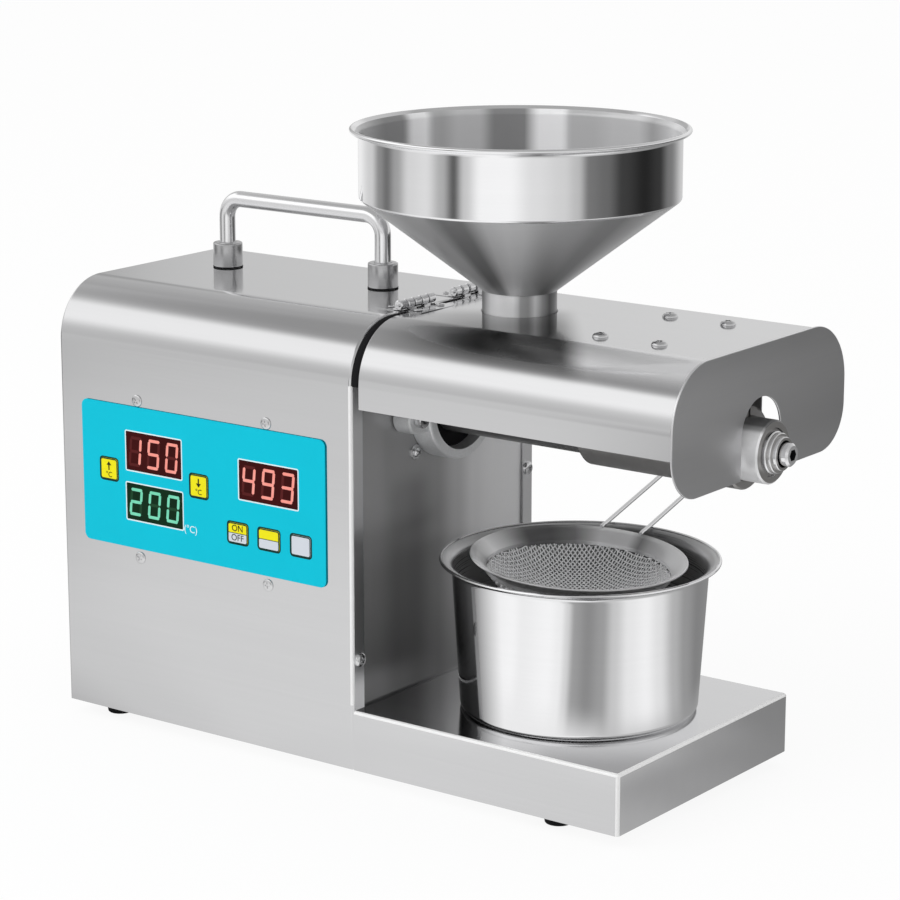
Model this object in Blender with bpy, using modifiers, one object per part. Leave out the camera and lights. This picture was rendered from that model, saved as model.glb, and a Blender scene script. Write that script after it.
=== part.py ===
"""Countertop screw oil press, built from its separate pieces at real size.

Metres, +Z up. Inside the script X runs from the housing's left end towards the press head,
Y from the control panel to the back and Z up from the bottom edge of the sheets. The datum
empty carries everything, and moves that corner so that the world origin is at the middle of
the whole press, on the plane that it stands on.
"""

import math

import bmesh
import bpy
from mathutils import Matrix, Vector

# Fits
SEAT = 0.0003  # gap between two pieces that touch
SCREW_PLAY = 0.0004  # radial play of a screw in its hole
SLOT_PLAY = 0.0025  # play of the barrel in the end plate's slot

# Housing and its sheets
HOUSING_LENGTH = 0.2135
DEPTH = 0.170
HEIGHT = 0.250
CORNER_RADIUS = 0.034
SHEET = 0.0012
FLANGE_WIDTH = 0.010
WALL_THICKNESS = 0.002
BASE_SHEET = 0.0015
PLATFORM_LENGTH = 0.174
PLATFORM_HEIGHT = 0.034
FLOOR_RECESS = 0.001
FOOT_RADIUS = 0.0088
FOOT_HEIGHT = 0.008
FOOT_INSET = (0.0235, 0.0183, 0.0497)  # from the left end, from front and back, from the right end
BACK_VENT = (0.004, 0.046, 0.012)  # width, height and spacing of the slots
BACK_VENT_COUNT = 7

# Hood
SEAM = 0.005
HOOD_LENGTH = 0.1975
HOOD_DROP = 0.046  # from the housing's top down to the hood's lower edge
PLATE_OVERHANG = 0.001
PLATE_DROP = 0.069  # from the housing's top down to the end plate's lower edge
PLATE_LOW_RADIUS = 0.024
PLATE_SLOT_DROP = 0.0275
GASKET_THICKNESS = 0.003
HOOD_SCREW_REACH = (0.1255, 0.1619)  # from the housing's right end
HOOD_SCREW_SPREAD = 0.0335

# Press head, turned about an axis along X. Each reach is taken from the housing's right end.
AXIS_DROP = 0.056  # from the housing's top down to the axis
BARREL_RADIUS = 0.017
BARREL_BORE = 0.0123
BARREL_REACH = 0.2115
FLANGE_RADIUS = 0.032
FLANGE_RECESS = 0.0255
FLANGE_DEPTH = 0.014
FLANGE_BASE = 0.007
HEATER_RADIUS = 0.022
HEATER_REACH = (0.0995, 0.1965)
THROAT_REACH = 0.050
THROAT_DROP = 0.028
THROAT_RADIUS = 0.024
THROAT_HOLE = 0.0105
SLOT_REACH = 0.0695
SLOT_WIDTH = 0.0012
SLOT_PITCH = 0.0032
SLOT_COUNT = 9
SHAFT_RADIUS = 0.008
ROOT_START = 0.0062
ROOT_END = 0.0098
FLIGHT_THICKNESS = 0.0022
FLIGHT_TURNS = 8
FLIGHT_REACH = (0.0265, 0.1905)
TIP_RADIUS = 0.0062
TIP_LENGTH = 0.0055  # past the cake nozzle's end
SOCKET_RADIUS = 0.0033
NOZZLE_RADIUS = 0.0113
NOZZLE_BORE = 0.0082
NOZZLE_THREAD = 0.0126
NOZZLE_SEAT_DEPTH = 0.011  # inside the barrel's end
NOZZLE_RING = 0.0035
NOZZLE_CONE = 0.004

# Hopper
HOPPER_RIM = 0.0921
HOPPER_RADIUS = 0.0873
HOPPER_RISE = 0.1005  # from the housing's top up to the rim
HOPPER_CREASE_RISE = 0.0626
NECK_RADIUS = 0.0204
NECK_RISE = 0.0116
SPIGOT_RADIUS = 0.017
SPIGOT_GAP = 0.0008  # between the spigot's end and the barrel's feed cup
HOPPER_WALL = 0.001

# Oil pot and strainer
POT_REACH = 0.0915  # from the housing's right end
POT_RIM = 0.0772
POT_MOUTH = 0.0703
POT_FOOT = 0.0657
POT_HEIGHT = 0.084
POT_WALL = 0.001
STRAINER_OFFSET = (-0.0035, 0.004, -0.002)  # from the middle of the pot's rim
STRAINER_TURN = math.radians(9.3)
STRAINER_TILT = math.radians(3)
STRAINER_RIM = 0.060
STRAINER_MOUTH = 0.051
STRAINER_BAND = 0.006
BOWL_DEPTH = 0.026
WIRE_RADIUS = 0.00125
HANDLE_SPREAD = 0.0242
HANDLE_REACH = 0.115
HANDLE_RISE = math.radians(7.7)

# Carry handle
HANDLE_INSET = (0.0475, 0.051)  # from the housing's left and right ends
HANDLE_BEHIND = 0.009  # behind the middle
HANDLE_ROD = 0.0047
HANDLE_BAR_RISE = 0.0408
HANDLE_BEND = 0.011
FERRULE_RADIUS = 0.0088
FERRULE_HEIGHT = 0.0153

# Hinge between housing and hood
HINGE_INSET = 0.002
HINGE_RISE = 0.003
KNUCKLE_RADIUS = 0.0025
PIN_RADIUS = 0.001
HINGE_LENGTH = 0.032
HINGE_OFFSET = 0.025
KNUCKLES = 5
LEAF = 0.001
LEAF_REACH = 0.0125

# Control panel on the front sheet
OVERLAY_THICKNESS = 0.0008
OVERLAY_RADIUS = 0.004
BOARD_OPENING_MARGIN = 0.007
BOARD_FRONT = 0.008
BOARD_THICKNESS = 0.0016
KEY_TRAVEL = 0.0005
KEY_RADIUS = 0.0015
SWITCH_BODY = 0.0032
# How far the front is stretched from the 213.5 by 250 mm on which its places were measured
ACROSS = HOUSING_LENGTH / 0.2135
UP = HEIGHT / 0.250


def on_front(left, right, bottom, top):
    """A rectangle on the front, stretched with the housing."""
    return left * ACROSS, right * ACROSS, bottom * UP, top * UP


OVERLAY = on_front(0.017, 0.196, 0.101, 0.184)
WINDOWS = {
    "display_current": on_front(0.0510, 0.0922, 0.1470, 0.1692),
    "display_setting": on_front(0.0507, 0.0926, 0.1180, 0.1390),
    "display_countdown": on_front(0.1350, 0.1767, 0.1425, 0.1646),
}
KEYS = {
    "key_up": on_front(0.0310, 0.0438, 0.1390, 0.1513),
    "key_down": on_front(0.0988, 0.1116, 0.1385, 0.1513),
    "key_heat": on_front(0.1263, 0.1405, 0.1164, 0.1280),
    "key_press": on_front(0.1484, 0.1634, 0.1162, 0.1279),
    "key_clear": on_front(0.1717, 0.1856, 0.1164, 0.1280),
}
BRACKET_SCREWS_X = (0.059 * ACROSS, 0.154 * ACROSS)
BRACKET_SCREWS_Z = (0.0956 * UP, 0.1876 * UP)

# Inside the housing
MOTOR_RADIUS = 0.036
MOTOR_DROP = 0.138  # from the housing's top down to the motor's axis
MOTOR_START = 0.034
GEARBOX_INSET = (0.0855, 0.0375)  # its two ends, from the housing's right end
GEARBOX_WIDTH = 0.080
GEARBOX_SPAN = (0.124, 0.038)  # below and above the press's axis
GEARBOX_BOLTS = (0.0265, 0.0253)
CRADLE_SIZE = (0.038, 0.052)  # along and across
BEARING_RADIUS = 0.016
BEARING_WIDTH = 0.009
BLOCK_RADIUS = 0.024
COUPLING_RADIUS = 0.014
COUPLING_LENGTH = 0.017
FAN_SIZE = 0.080
FAN_DEPTH = 0.015
FAN_DROP = 0.064
FAN_BLADES = 7
INLET_AT = (0.050, 0.045)
INLET_SIZE = (0.031, 0.024)
SWITCH_AT = (0.095, 0.045)
SWITCH_SIZE = (0.016, 0.0245)
ROCKER_THROW = math.radians(24)

AXIS_Y = DEPTH / 2
AXIS_Z = HEIGHT - AXIS_DROP
HOOD_BOTTOM = HEIGHT - HOOD_DROP
PLATE_BOTTOM = HEIGHT - PLATE_DROP
PLATE_SLOT_TOP = HEIGHT - PLATE_SLOT_DROP
HOOD_SCREW_X = [HOUSING_LENGTH + reach for reach in HOOD_SCREW_REACH]
BARREL_END = HOUSING_LENGTH + BARREL_REACH
HEATER_START, HEATER_END = [HOUSING_LENGTH + reach for reach in HEATER_REACH]
THROAT_X = HOUSING_LENGTH + THROAT_REACH
THROAT_TOP = HEIGHT - THROAT_DROP
SLOT_START = HOUSING_LENGTH + SLOT_REACH
FLIGHT_START, FLIGHT_END = [HOUSING_LENGTH + reach for reach in FLIGHT_REACH]
NOZZLE_SEAT = BARREL_END - NOZZLE_SEAT_DEPTH
NOZZLE_SHOULDER = BARREL_END + NOZZLE_RING
NOZZLE_END = NOZZLE_SHOULDER + NOZZLE_CONE
TIP_END = NOZZLE_END + TIP_LENGTH
HOPPER_TOP = HEIGHT + HOPPER_RISE
HOPPER_CREASE = HEIGHT + HOPPER_CREASE_RISE
NECK_TOP = HEIGHT + NECK_RISE
HANDLE_X = (HANDLE_INSET[0], HOUSING_LENGTH - HANDLE_INSET[1])
HANDLE_Y = AXIS_Y + HANDLE_BEHIND
HANDLE_BAR_Z = HEIGHT + HANDLE_BAR_RISE
HINGE_X = HOUSING_LENGTH - HINGE_INSET
MOTOR_Z = HEIGHT - MOTOR_DROP
GEARBOX_START, GEARBOX_END = [HOUSING_LENGTH - inset for inset in GEARBOX_INSET]
GEARBOX_BOTTOM, GEARBOX_TOP = AXIS_Z - GEARBOX_SPAN[0], AXIS_Z + GEARBOX_SPAN[1]
FAN_Z = HEIGHT - FAN_DROP
WALL_FACE = HOUSING_LENGTH - SHEET - SEAT
HOOD_START = HOUSING_LENGTH + SEAM
HOOD_END = HOOD_START + HOOD_LENGTH
PLATE_FACE = HOOD_END + SEAT
HINGE_Z = HEIGHT + HINGE_RISE
SPIGOT_END = THROAT_TOP + SPIGOT_GAP
POT_BASE = PLATFORM_HEIGHT + SEAT
POT_X, POT_Y = HOUSING_LENGTH + POT_REACH, AXIS_Y
STRAINER_AT = (
    POT_X + STRAINER_OFFSET[0],
    POT_Y + STRAINER_OFFSET[1],
    POT_BASE + POT_HEIGHT + STRAINER_OFFSET[2],
)
PLATFORM_START = HOUSING_LENGTH + SEAT

# The whole press reaches from the rocker switch to the shaft's tip, and from the hopper's rim
# to the end of the strainer's handle.
ROCKER_PROUD = 0.0027
PRESS_MIDDLE_X = (TIP_END - ROCKER_PROUD) / 2
HANDLE_TIP = STRAINER_RIM + HANDLE_REACH + WIRE_RADIUS
HANDLE_END_Y = STRAINER_AT[1] + round(HANDLE_TIP * math.cos(STRAINER_TURN), 4)
PRESS_MIDDLE_Y = (HANDLE_END_Y + AXIS_Y - HOPPER_RIM) / 2

STEEL = ((0.62, 0.62, 0.63), 0.30, 1.0)
POLISHED = ((0.75, 0.75, 0.76), 0.12, 1.0)
DARK_STEEL = ((0.30, 0.30, 0.31), 0.40, 1.0)
BLACK = ((0.02, 0.02, 0.02), 0.60, 0.0)
RUBBER = ((0.015, 0.015, 0.015), 0.80, 0.0)
CAST = ((0.45, 0.46, 0.48), 0.50, 0.9)
CYAN = ((0.0, 0.55, 0.72), 0.35, 0.0)
YELLOW = ((0.92, 0.78, 0.02), 0.40, 0.0)
PALE_KEY = ((0.78, 0.80, 0.82), 0.40, 0.0)
RED_LED = ((0.30, 0.01, 0.01), 0.30, 0.0)
GREEN_LED = ((0.01, 0.18, 0.05), 0.30, 0.0)
BOARD_GREEN = ((0.02, 0.20, 0.08), 0.50, 0.0)

TO_X = Matrix.Rotation(math.pi / 2, 4, "Y")


def new_collection(name):
    collection = bpy.data.collections.new(name)
    bpy.context.scene.collection.children.link(collection)
    return collection


def clear_scene():
    for item in list(bpy.data.objects):
        bpy.data.objects.remove(item, do_unlink=True)
    for item in list(bpy.data.collections):
        bpy.data.collections.remove(item)


def finish(piece, look, smooth=None):
    """Gives a piece its own material and, for round pieces, smooth shading."""
    colour, roughness, metallic = look
    material = bpy.data.materials.new(piece.name)
    material.use_nodes = True
    shader = material.node_tree.nodes["Principled BSDF"]
    shader.inputs["Base Color"].default_value = (*colour, 1.0)
    shader.inputs["Roughness"].default_value = roughness
    shader.inputs["Metallic"].default_value = metallic
    piece.data.materials.append(material)
    if smooth and piece.type == "MESH":
        piece.data.shade_smooth()
        piece.data.set_sharp_from_angle(angle=smooth)
    return piece


def add(name, data, parent=None):
    piece = bpy.data.objects.new(name, data)
    PARTS.objects.link(piece)
    carry(piece, parent or DATUM)
    return piece


def carry(piece, parent):
    """Parents a piece and keeps its place, which stays written in the press's own frame."""
    piece.parent = parent
    if parent is not DATUM:
        piece.matrix_parent_inverse = Matrix.Translation(-parent.location)


def pivot(name, place, parent=None):
    """An empty on a joint's axis."""
    empty = bpy.data.objects.new(name, None)
    empty.empty_display_size = 0.01
    PARTS.objects.link(empty)
    empty.location = place
    carry(empty, parent or DATUM)
    return empty


def mesh_piece(name, bm, parent=None):
    mesh = bpy.data.meshes.new(name)
    bm.to_mesh(mesh)
    bm.free()
    return add(name, mesh, parent)


def add_box(bm, low, high):
    low, high = Vector(low), Vector(high)
    size = Matrix.Diagonal((*(high - low), 1))
    bmesh.ops.create_cube(bm, size=1, matrix=Matrix.Translation((low + high) / 2) @ size)


def add_rod(bm, start, end, radius, sides=24, end_radius=None):
    start, end = Vector(start), Vector(end)
    turn = Vector((0, 0, 1)).rotation_difference(end - start).to_matrix().to_4x4()
    place = Matrix.Translation((start + end) / 2) @ turn
    bmesh.ops.create_cone(
        bm,
        cap_ends=True,
        segments=sides,
        radius1=radius,
        radius2=radius if end_radius is None else end_radius,
        depth=(end - start).length,
        matrix=place,
    )


def boxes(name, spans, parent=None):
    bm = bmesh.new()
    for low, high in spans:
        add_box(bm, low, high)
    return mesh_piece(name, bm, parent)


def rods(name, runs, sides=24, parent=None):
    bm = bmesh.new()
    for start, end, radius in runs:
        add_rod(bm, start, end, radius, sides)
    return mesh_piece(name, bm, parent)


def turned(name, profile, place, parent=None, along_x=True, steps=24):
    """A turned piece. The profile's (radius, height) points run down its outer side, then up the
    inner one; where it starts and ends on the axis it is left open and the piece is solid."""
    bm = bmesh.new()
    points = [bm.verts.new((radius, 0, height)) for radius, height in profile]
    for first, second in zip(points, points[1:]):
        bm.edges.new((first, second))
    if profile[0][0] > 0:
        bm.edges.new((points[-1], points[0]))
    piece = mesh_piece(name, bm, parent)
    turn = piece.modifiers.new("turn", "SCREW")
    turn.axis = "Z"
    turn.steps = turn.render_steps = steps
    turn.use_merge_vertices = True
    turn.merge_threshold = 0.00001
    turn.use_smooth_shade = True
    piece.location = place
    if along_x:
        piece.rotation_euler = TO_X.to_euler()
    return piece


def circle(centre, radius, sides=16):
    step = 2 * math.pi / sides
    return [
        (centre[0] + radius * math.cos(k * step), centre[1] + radius * math.sin(k * step))
        for k in range(sides)
    ]


def arc(centre, radius, start, end, steps):
    return [
        (
            centre[0] + radius * math.cos(start + (end - start) * k / steps),
            centre[1] + radius * math.sin(start + (end - start) * k / steps),
        )
        for k in range(steps + 1)
    ]


def rounded(left, right, bottom, top, radius, steps=4):
    quarter = math.pi / 2
    corners = (
        (right - radius, top - radius, 0),
        (left + radius, top - radius, quarter),
        (left + radius, bottom + radius, 2 * quarter),
        (right - radius, bottom + radius, 3 * quarter),
    )
    points = []
    for x, y, start in corners:
        points += arc((x, y), radius, start, start + quarter, steps)
    return points


def arch(low, inset=0.0, steps=6):
    """The housing's end outline as (y, z), up the front, over the top and down the back."""
    radius = CORNER_RADIUS - inset
    spring = HEIGHT - CORNER_RADIUS
    return (
        [(inset, low)]
        + arc((CORNER_RADIUS, spring), radius, math.pi, math.pi / 2, steps)
        + arc((DEPTH - CORNER_RADIUS, spring), radius, math.pi / 2, 0, steps)
        + [(DEPTH - inset, low)]
    )


def flat(name, loops, low, high, facing, parent=None):
    """A flat piece from closed outlines, the first around the others. It faces X, Y or Z and
    lies between low and high along that axis."""
    curve = bpy.data.curves.new(name, "CURVE")
    curve.dimensions = "2D"
    curve.fill_mode = "BOTH"
    curve.extrude = (high - low) / 2
    for loop in loops:
        spline = curve.splines.new("POLY")
        spline.points.add(len(loop) - 1)
        spline.use_cyclic_u = True
        for point, (u, v) in zip(spline.points, loop):
            point.co = (u, v, 0, 1)
    middle = (low + high) / 2
    outline = bpy.data.objects.new(name, curve)
    PARTS.objects.link(outline)
    axes = {
        "X": (Vector((0, 1, 0)), Vector((0, 0, 1)), Vector((middle, 0, 0))),
        "Y": (Vector((1, 0, 0)), Vector((0, 0, 1)), Vector((0, middle, 0))),
        "Z": (Vector((1, 0, 0)), Vector((0, 1, 0)), Vector((0, 0, middle))),
    }
    u_axis, v_axis, place = axes[facing]
    frame = Matrix((u_axis, v_axis, u_axis.cross(v_axis))).transposed().to_4x4()
    frame.translation = place
    mesh = mesh_of(outline)
    mesh.transform(frame)
    bpy.data.objects.remove(outline, do_unlink=True)
    return add(name, mesh, parent)


def wire(name, points, radius, parent=None, sides=2, cyclic=False):
    """A bent rod or wire along its centreline, as a mesh whose caps are welded."""
    curve = bpy.data.curves.new(name, "CURVE")
    curve.dimensions = "3D"
    curve.bevel_depth = radius
    curve.bevel_resolution = sides
    curve.use_fill_caps = not cyclic
    spline = curve.splines.new("POLY")
    spline.points.add(len(points) - 1)
    spline.use_cyclic_u = cyclic
    for point, place in zip(spline.points, points):
        point.co = (*place, 1)
    line = bpy.data.objects.new(name, curve)
    PARTS.objects.link(line)
    mesh = mesh_of(line)
    bpy.data.objects.remove(line, do_unlink=True)
    return add(name, mesh, parent)


def mesh_of(item):
    """The evaluated mesh of an object, welded."""
    bpy.context.view_layer.update()
    graph = bpy.context.evaluated_depsgraph_get()
    mesh = bpy.data.meshes.new_from_object(item.evaluated_get(graph))
    bm = bmesh.new()
    bm.from_mesh(mesh)
    bmesh.ops.remove_doubles(bm, verts=bm.verts, dist=0.000005)
    bmesh.ops.recalc_face_normals(bm, faces=bm.faces)
    bm.to_mesh(mesh)
    bm.free()
    return mesh


def combine(piece, other, operation):
    """Cuts or joins another piece, which becomes a helper."""
    helper = piece.modifiers.new(other.name, "BOOLEAN")
    helper.operation = operation
    helper.solver = "EXACT"
    helper.object = other
    PARTS.objects.unlink(other)
    CUTTERS.objects.link(other)
    other.hide_render = True
    other.display_type = "WIRE"
    return piece


def cut(piece, *others):
    for other in others:
        combine(piece, other, "DIFFERENCE")
    return piece


def join(piece, *others):
    for other in others:
        combine(piece, other, "UNION")
    return piece


def folded(name, outline, start, end, thickness, parent=None):
    """A sheet that follows a (y, z) outline from one X to another."""
    bm = bmesh.new()
    first = [bm.verts.new((start, y, z)) for y, z in outline]
    rim = [bm.edges.new(pair) for pair in zip(first, first[1:])]
    far = bmesh.ops.extrude_edge_only(bm, edges=rim)["geom"]
    moved = [item for item in far if isinstance(item, bmesh.types.BMVert)]
    bmesh.ops.translate(bm, verts=moved, vec=(end - start, 0, 0))
    bmesh.ops.recalc_face_normals(bm, faces=bm.faces)
    piece = mesh_piece(name, bm, parent)
    wall = piece.modifiers.new("sheet", "SOLIDIFY")
    wall.thickness = thickness
    wall.offset = -1
    wall.use_even_offset = True
    return piece


def housing():
    shell = folded("housing_shell", arch(0.0), 0.0, HOUSING_LENGTH, SHEET)
    spring = HEIGHT - CORNER_RADIUS
    right_flange = HOUSING_LENGTH - SHEET
    flanges = []
    for inner, outer in ((SHEET / 2, FLANGE_WIDTH), (DEPTH - FLANGE_WIDTH, DEPTH - SHEET / 2)):
        flanges.append(((0, inner, 0), (SHEET, outer, spring)))
        flanges.append(
            ((right_flange, inner, FLOOR_TOP + SEAT), (HOUSING_LENGTH, outer, spring))
        )
    join(shell, boxes("shell_flanges", flanges))
    left, right, bottom, top = OVERLAY
    margin = BOARD_OPENING_MARGIN
    width, tall, spacing = BACK_VENT
    holes = [
        (
            (left + margin, -SHEET, bottom + margin),
            (right - margin, 2 * SHEET, top - margin),
        )
    ]
    first = (HOUSING_LENGTH - spacing * (BACK_VENT_COUNT - 1)) / 2
    for k in range(BACK_VENT_COUNT):
        x = first + k * spacing
        holes.append(
            ((x - width / 2, DEPTH - 2 * SHEET, MOTOR_Z), (x + width / 2, DEPTH + SHEET, MOTOR_Z + tall))
        )
    cut(shell, boxes("shell_openings", holes))
    bores = [
        ((x, HANDLE_Y, HEIGHT - 3 * SHEET), (x, HANDLE_Y, HEIGHT + SHEET), HANDLE_BOLT + SCREW_PLAY)
        for x in HANDLE_X
    ]
    for x in BRACKET_SCREWS_X:
        for z in BRACKET_SCREWS_Z:
            bores.append(((x, -SHEET, z), (x, 2 * SHEET, z), SMALL_SCREW + SCREW_PLAY))
    for y, z in WALL_SCREWS:
        bores.append(
            (
                (HOUSING_LENGTH - 2 * SHEET, y, z),
                (HOUSING_LENGTH + SHEET, y, z),
                SMALL_SCREW + SCREW_PLAY,
            )
        )
    for y, z in LEFT_SCREWS:
        bores.append(((-SHEET, y, z), (2 * SHEET, y, z), SMALL_SCREW + SCREW_PLAY))
    cut(shell, rods("shell_bores", bores, 8))
    finish(shell, STEEL)

    wall = flat(
        "partition_wall",
        [arch(FLOOR_TOP + SEAT, SHEET + SEAT)]
        + [circle((AXIS_Y, AXIS_Z), SHAFT_RADIUS + 4 * SCREW_PLAY + 0.002)]
        + [circle(place, SMALL_SCREW + SCREW_PLAY, 8) for place in WALL_SCREWS]
        + [circle(place, GEARBOX_BOLT + SCREW_PLAY, 10) for place in gearbox_bolt_places()],
        WALL_FACE - WALL_THICKNESS,
        WALL_FACE,
        "X",
    )
    finish(wall, STEEL)

    y, z = INLET_AT
    wide, tall = INLET_SIZE
    switch_y, switch_z = SWITCH_AT
    switch_wide, switch_tall = SWITCH_SIZE
    lip = PANEL_LIP
    holes = [
        rounded(y - wide / 2 + lip, y + wide / 2 - lip, z - tall / 2 + lip, z + tall / 2 - lip, 0.001, 2),
        rounded(
            switch_y - switch_wide / 2 + lip,
            switch_y + switch_wide / 2 - lip,
            switch_z - switch_tall / 2 + lip,
            switch_z + switch_tall / 2 - lip,
            0.001,
            2,
        ),
    ]
    reach = FAN_SIZE / 2 - 0.004
    for k in range(-3, 4):
        level = FAN_Z + k * 0.0095
        half = math.sqrt(reach**2 - (k * 0.0095) ** 2) - 0.001
        holes.append(rounded(AXIS_Y - half, AXIS_Y + half, level - 0.002, level + 0.002, 0.0019, 1))
    holes += [circle(place, SMALL_SCREW + SCREW_PLAY, 8) for place in LEFT_SCREWS]
    panel = flat(
        "left_end_panel",
        [arch(FLOOR_TOP + SEAT, SHEET + SEAT)] + holes,
        SHEET + SEAT,
        2 * SHEET + SEAT,
        "X",
    )
    finish(panel, STEEL)


def base():
    start, end = PLATFORM_START, PLATFORM_START + PLATFORM_LENGTH
    bm = bmesh.new()
    add_box(bm, (start, 0, 0), (end, DEPTH, PLATFORM_HEIGHT))
    open_sides = [
        face for face in bm.faces if face.normal.z < -0.5 or face.normal.x < -0.5
    ]
    bmesh.ops.delete(bm, geom=open_sides, context="FACES")
    platform = mesh_piece("base_platform", bm)
    wall = platform.modifiers.new("sheet", "SOLIDIFY")
    wall.thickness = BASE_SHEET
    wall.offset = -1
    wall.use_even_offset = True
    finish(platform, STEEL)

    inset = BASE_SHEET + SEAT
    floor = boxes(
        "bottom_plate",
        [((inset, inset, FLOOR_RECESS), (end - inset, DEPTH - inset, FLOOR_TOP))],
    )
    finish(floor, STEEL)

    top = FLOOR_RECESS - SEAT
    for side, x in (("left", FOOT_INSET[0]), ("right", end - FOOT_INSET[2])):
        for row, y in (("front", FOOT_INSET[1]), ("rear", DEPTH - FOOT_INSET[1])):
            outline = [
                (0, top),
                (FOOT_RADIUS, top),
                (FOOT_RADIUS, top - 0.002),
                (FOOT_RADIUS * 0.86, -FOOT_HEIGHT + 0.001),
                (FOOT_RADIUS * 0.78, -FOOT_HEIGHT),
                (0, -FOOT_HEIGHT),
            ]
            foot = turned(f"foot_{row}_{side}", outline, (x, y, 0), along_x=False, steps=16)
            finish(foot, RUBBER)


def gearbox_bolt_places():
    across, up = GEARBOX_BOLTS
    return [(AXIS_Y + i * across, AXIS_Z + j * up) for i in (-1, 1) for j in (-1, 1)]


def panel_controls():
    left, right, bottom, top = OVERLAY
    back, front = -SEAT, -SEAT - OVERLAY_THICKNESS
    holes = [rounded(a, b, c, d, 0.001, 2) for a, b, c, d in grown(WINDOWS)]
    holes += [rounded(a, b, c, d, KEY_RADIUS + SEAT, 3) for a, b, c, d in grown(KEYS)]
    overlay = flat(
        "control_overlay",
        [rounded(left, right, bottom, top, OVERLAY_RADIUS)] + holes,
        front,
        back,
        "Y",
    )
    finish(overlay, CYAN)
    for name, (a, b, c, d) in WINDOWS.items():
        module = boxes(name, [((a, front, c), (b, BOARD_FRONT - SEAT, d))])
        finish(module, GREEN_LED if name == "display_setting" else RED_LED)

    margin = BOARD_OPENING_MARGIN + 0.001
    board = boxes(
        "control_board",
        [
            (
                (left + margin, BOARD_FRONT, bottom + margin),
                (right - margin, BOARD_FRONT + BOARD_THICKNESS, top - margin),
            )
        ],
    )
    stem_end = BOARD_FRONT - SWITCH_BODY - KEY_TRAVEL - SEAT
    switches = []
    for name, (a, b, c, d) in KEYS.items():
        x, z = (a + b) / 2, (c + d) / 2
        rest = pivot(f"{name}_travel", (x, 0, z))
        key = flat(name, [rounded(a, b, c, d, KEY_RADIUS, 3)], front - 0.0004, back, "Y", rest)
        stem = rods(f"{name}_stem", [((x, front, z), (x, stem_end, z), 0.0016)], 10, rest)
        join(key, stem)
        finish(key, PALE_KEY if name == "key_clear" else YELLOW)
        half = 0.003
        low = BOARD_FRONT - SWITCH_BODY
        switches.append(((x - half, low, z - half), (x + half, BOARD_FRONT + 0.0005, z + half)))
    join(board, boxes("tact_switches", switches))
    finish(board, BOARD_GREEN)

    back_face = BOARD_FRONT + BOARD_THICKNESS + SEAT
    x0, x1 = BRACKET_SCREWS_X
    z0, z1 = BRACKET_SCREWS_Z
    edge = 0.006
    bracket = flat(
        "board_bracket",
        [rounded(x0 - edge, x1 + edge, z0 - edge, z1 + edge, 0.002, 2)],
        back_face,
        back_face + SHEET,
        "Y",
    )
    places = [(x, z) for x in (x0, x1) for z in (z0, z1)]
    posts = [((x, SHEET + SEAT, z), (x, back_face + SHEET / 2, z), 0.0035) for x, z in places]
    threads = [((x, 0, z), (x, back_face + 2 * SHEET, z), SMALL_SCREW + SCREW_PLAY) for x, z in places]
    join(bracket, rods("bracket_posts", posts, 12))
    cut(bracket, rods("bracket_threads", threads, 8))
    finish(bracket, STEEL)


def grown(places):
    """The outlines of what fits a hole, with the seat's gap added."""
    return [(a - SEAT, b + SEAT, c - SEAT, d + SEAT) for a, b, c, d in places.values()]


def carry_handle():
    x0, x1 = HANDLE_X
    low = HEIGHT + SEAT
    bend = HANDLE_BEND
    rod_end = low + ROD_SOCKET
    path = [(x0, HANDLE_Y, rod_end)]
    path += [
        (x, HANDLE_Y, z)
        for x, z in arc((x0 + bend, HANDLE_BAR_Z - bend), bend, math.pi, math.pi / 2, 6)
    ]
    path += [
        (x, HANDLE_Y, z)
        for x, z in arc((x1 - bend, HANDLE_BAR_Z - bend), bend, math.pi / 2, 0, 6)
    ]
    path.append((x1, HANDLE_Y, rod_end))
    rod = wire("carry_handle", path, HANDLE_ROD, sides=4)
    finish(rod, POLISHED, 0.6)

    bolt_top = low + ROD_SOCKET - SEAT - 0.0005
    under = HEIGHT - SHEET - SEAT
    for side, x in zip(("left", "right"), HANDLE_X):
        finish(
            turned(
                f"handle_ferrule_{side}",
                [
                    (FERRULE_RADIUS - 0.0008, FERRULE_HEIGHT),
                    (FERRULE_RADIUS, FERRULE_HEIGHT - 0.0008),
                    (FERRULE_RADIUS, 0),
                    (HANDLE_BOLT + SCREW_PLAY, 0),
                    (HANDLE_BOLT + SCREW_PLAY, ROD_SOCKET - SEAT),
                    (HANDLE_ROD + SEAT, ROD_SOCKET - SEAT),
                    (HANDLE_ROD + SEAT, FERRULE_HEIGHT),
                ],
                (x, HANDLE_Y, low),
                along_x=False,
                steps=18,
            ),
            POLISHED,
            0.6,
        )
        finish(
            turned(
                f"handle_bolt_{side}",
                [
                    (0, bolt_top - under),
                    (HANDLE_BOLT, bolt_top - under),
                    (HANDLE_BOLT, 0),
                    (0.0055, 0),
                    (0.0055, -0.004),
                    (0, -0.004),
                ],
                (x, HANDLE_Y, under),
                along_x=False,
                steps=12,
            ),
            STEEL,
            0.6,
        )


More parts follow.
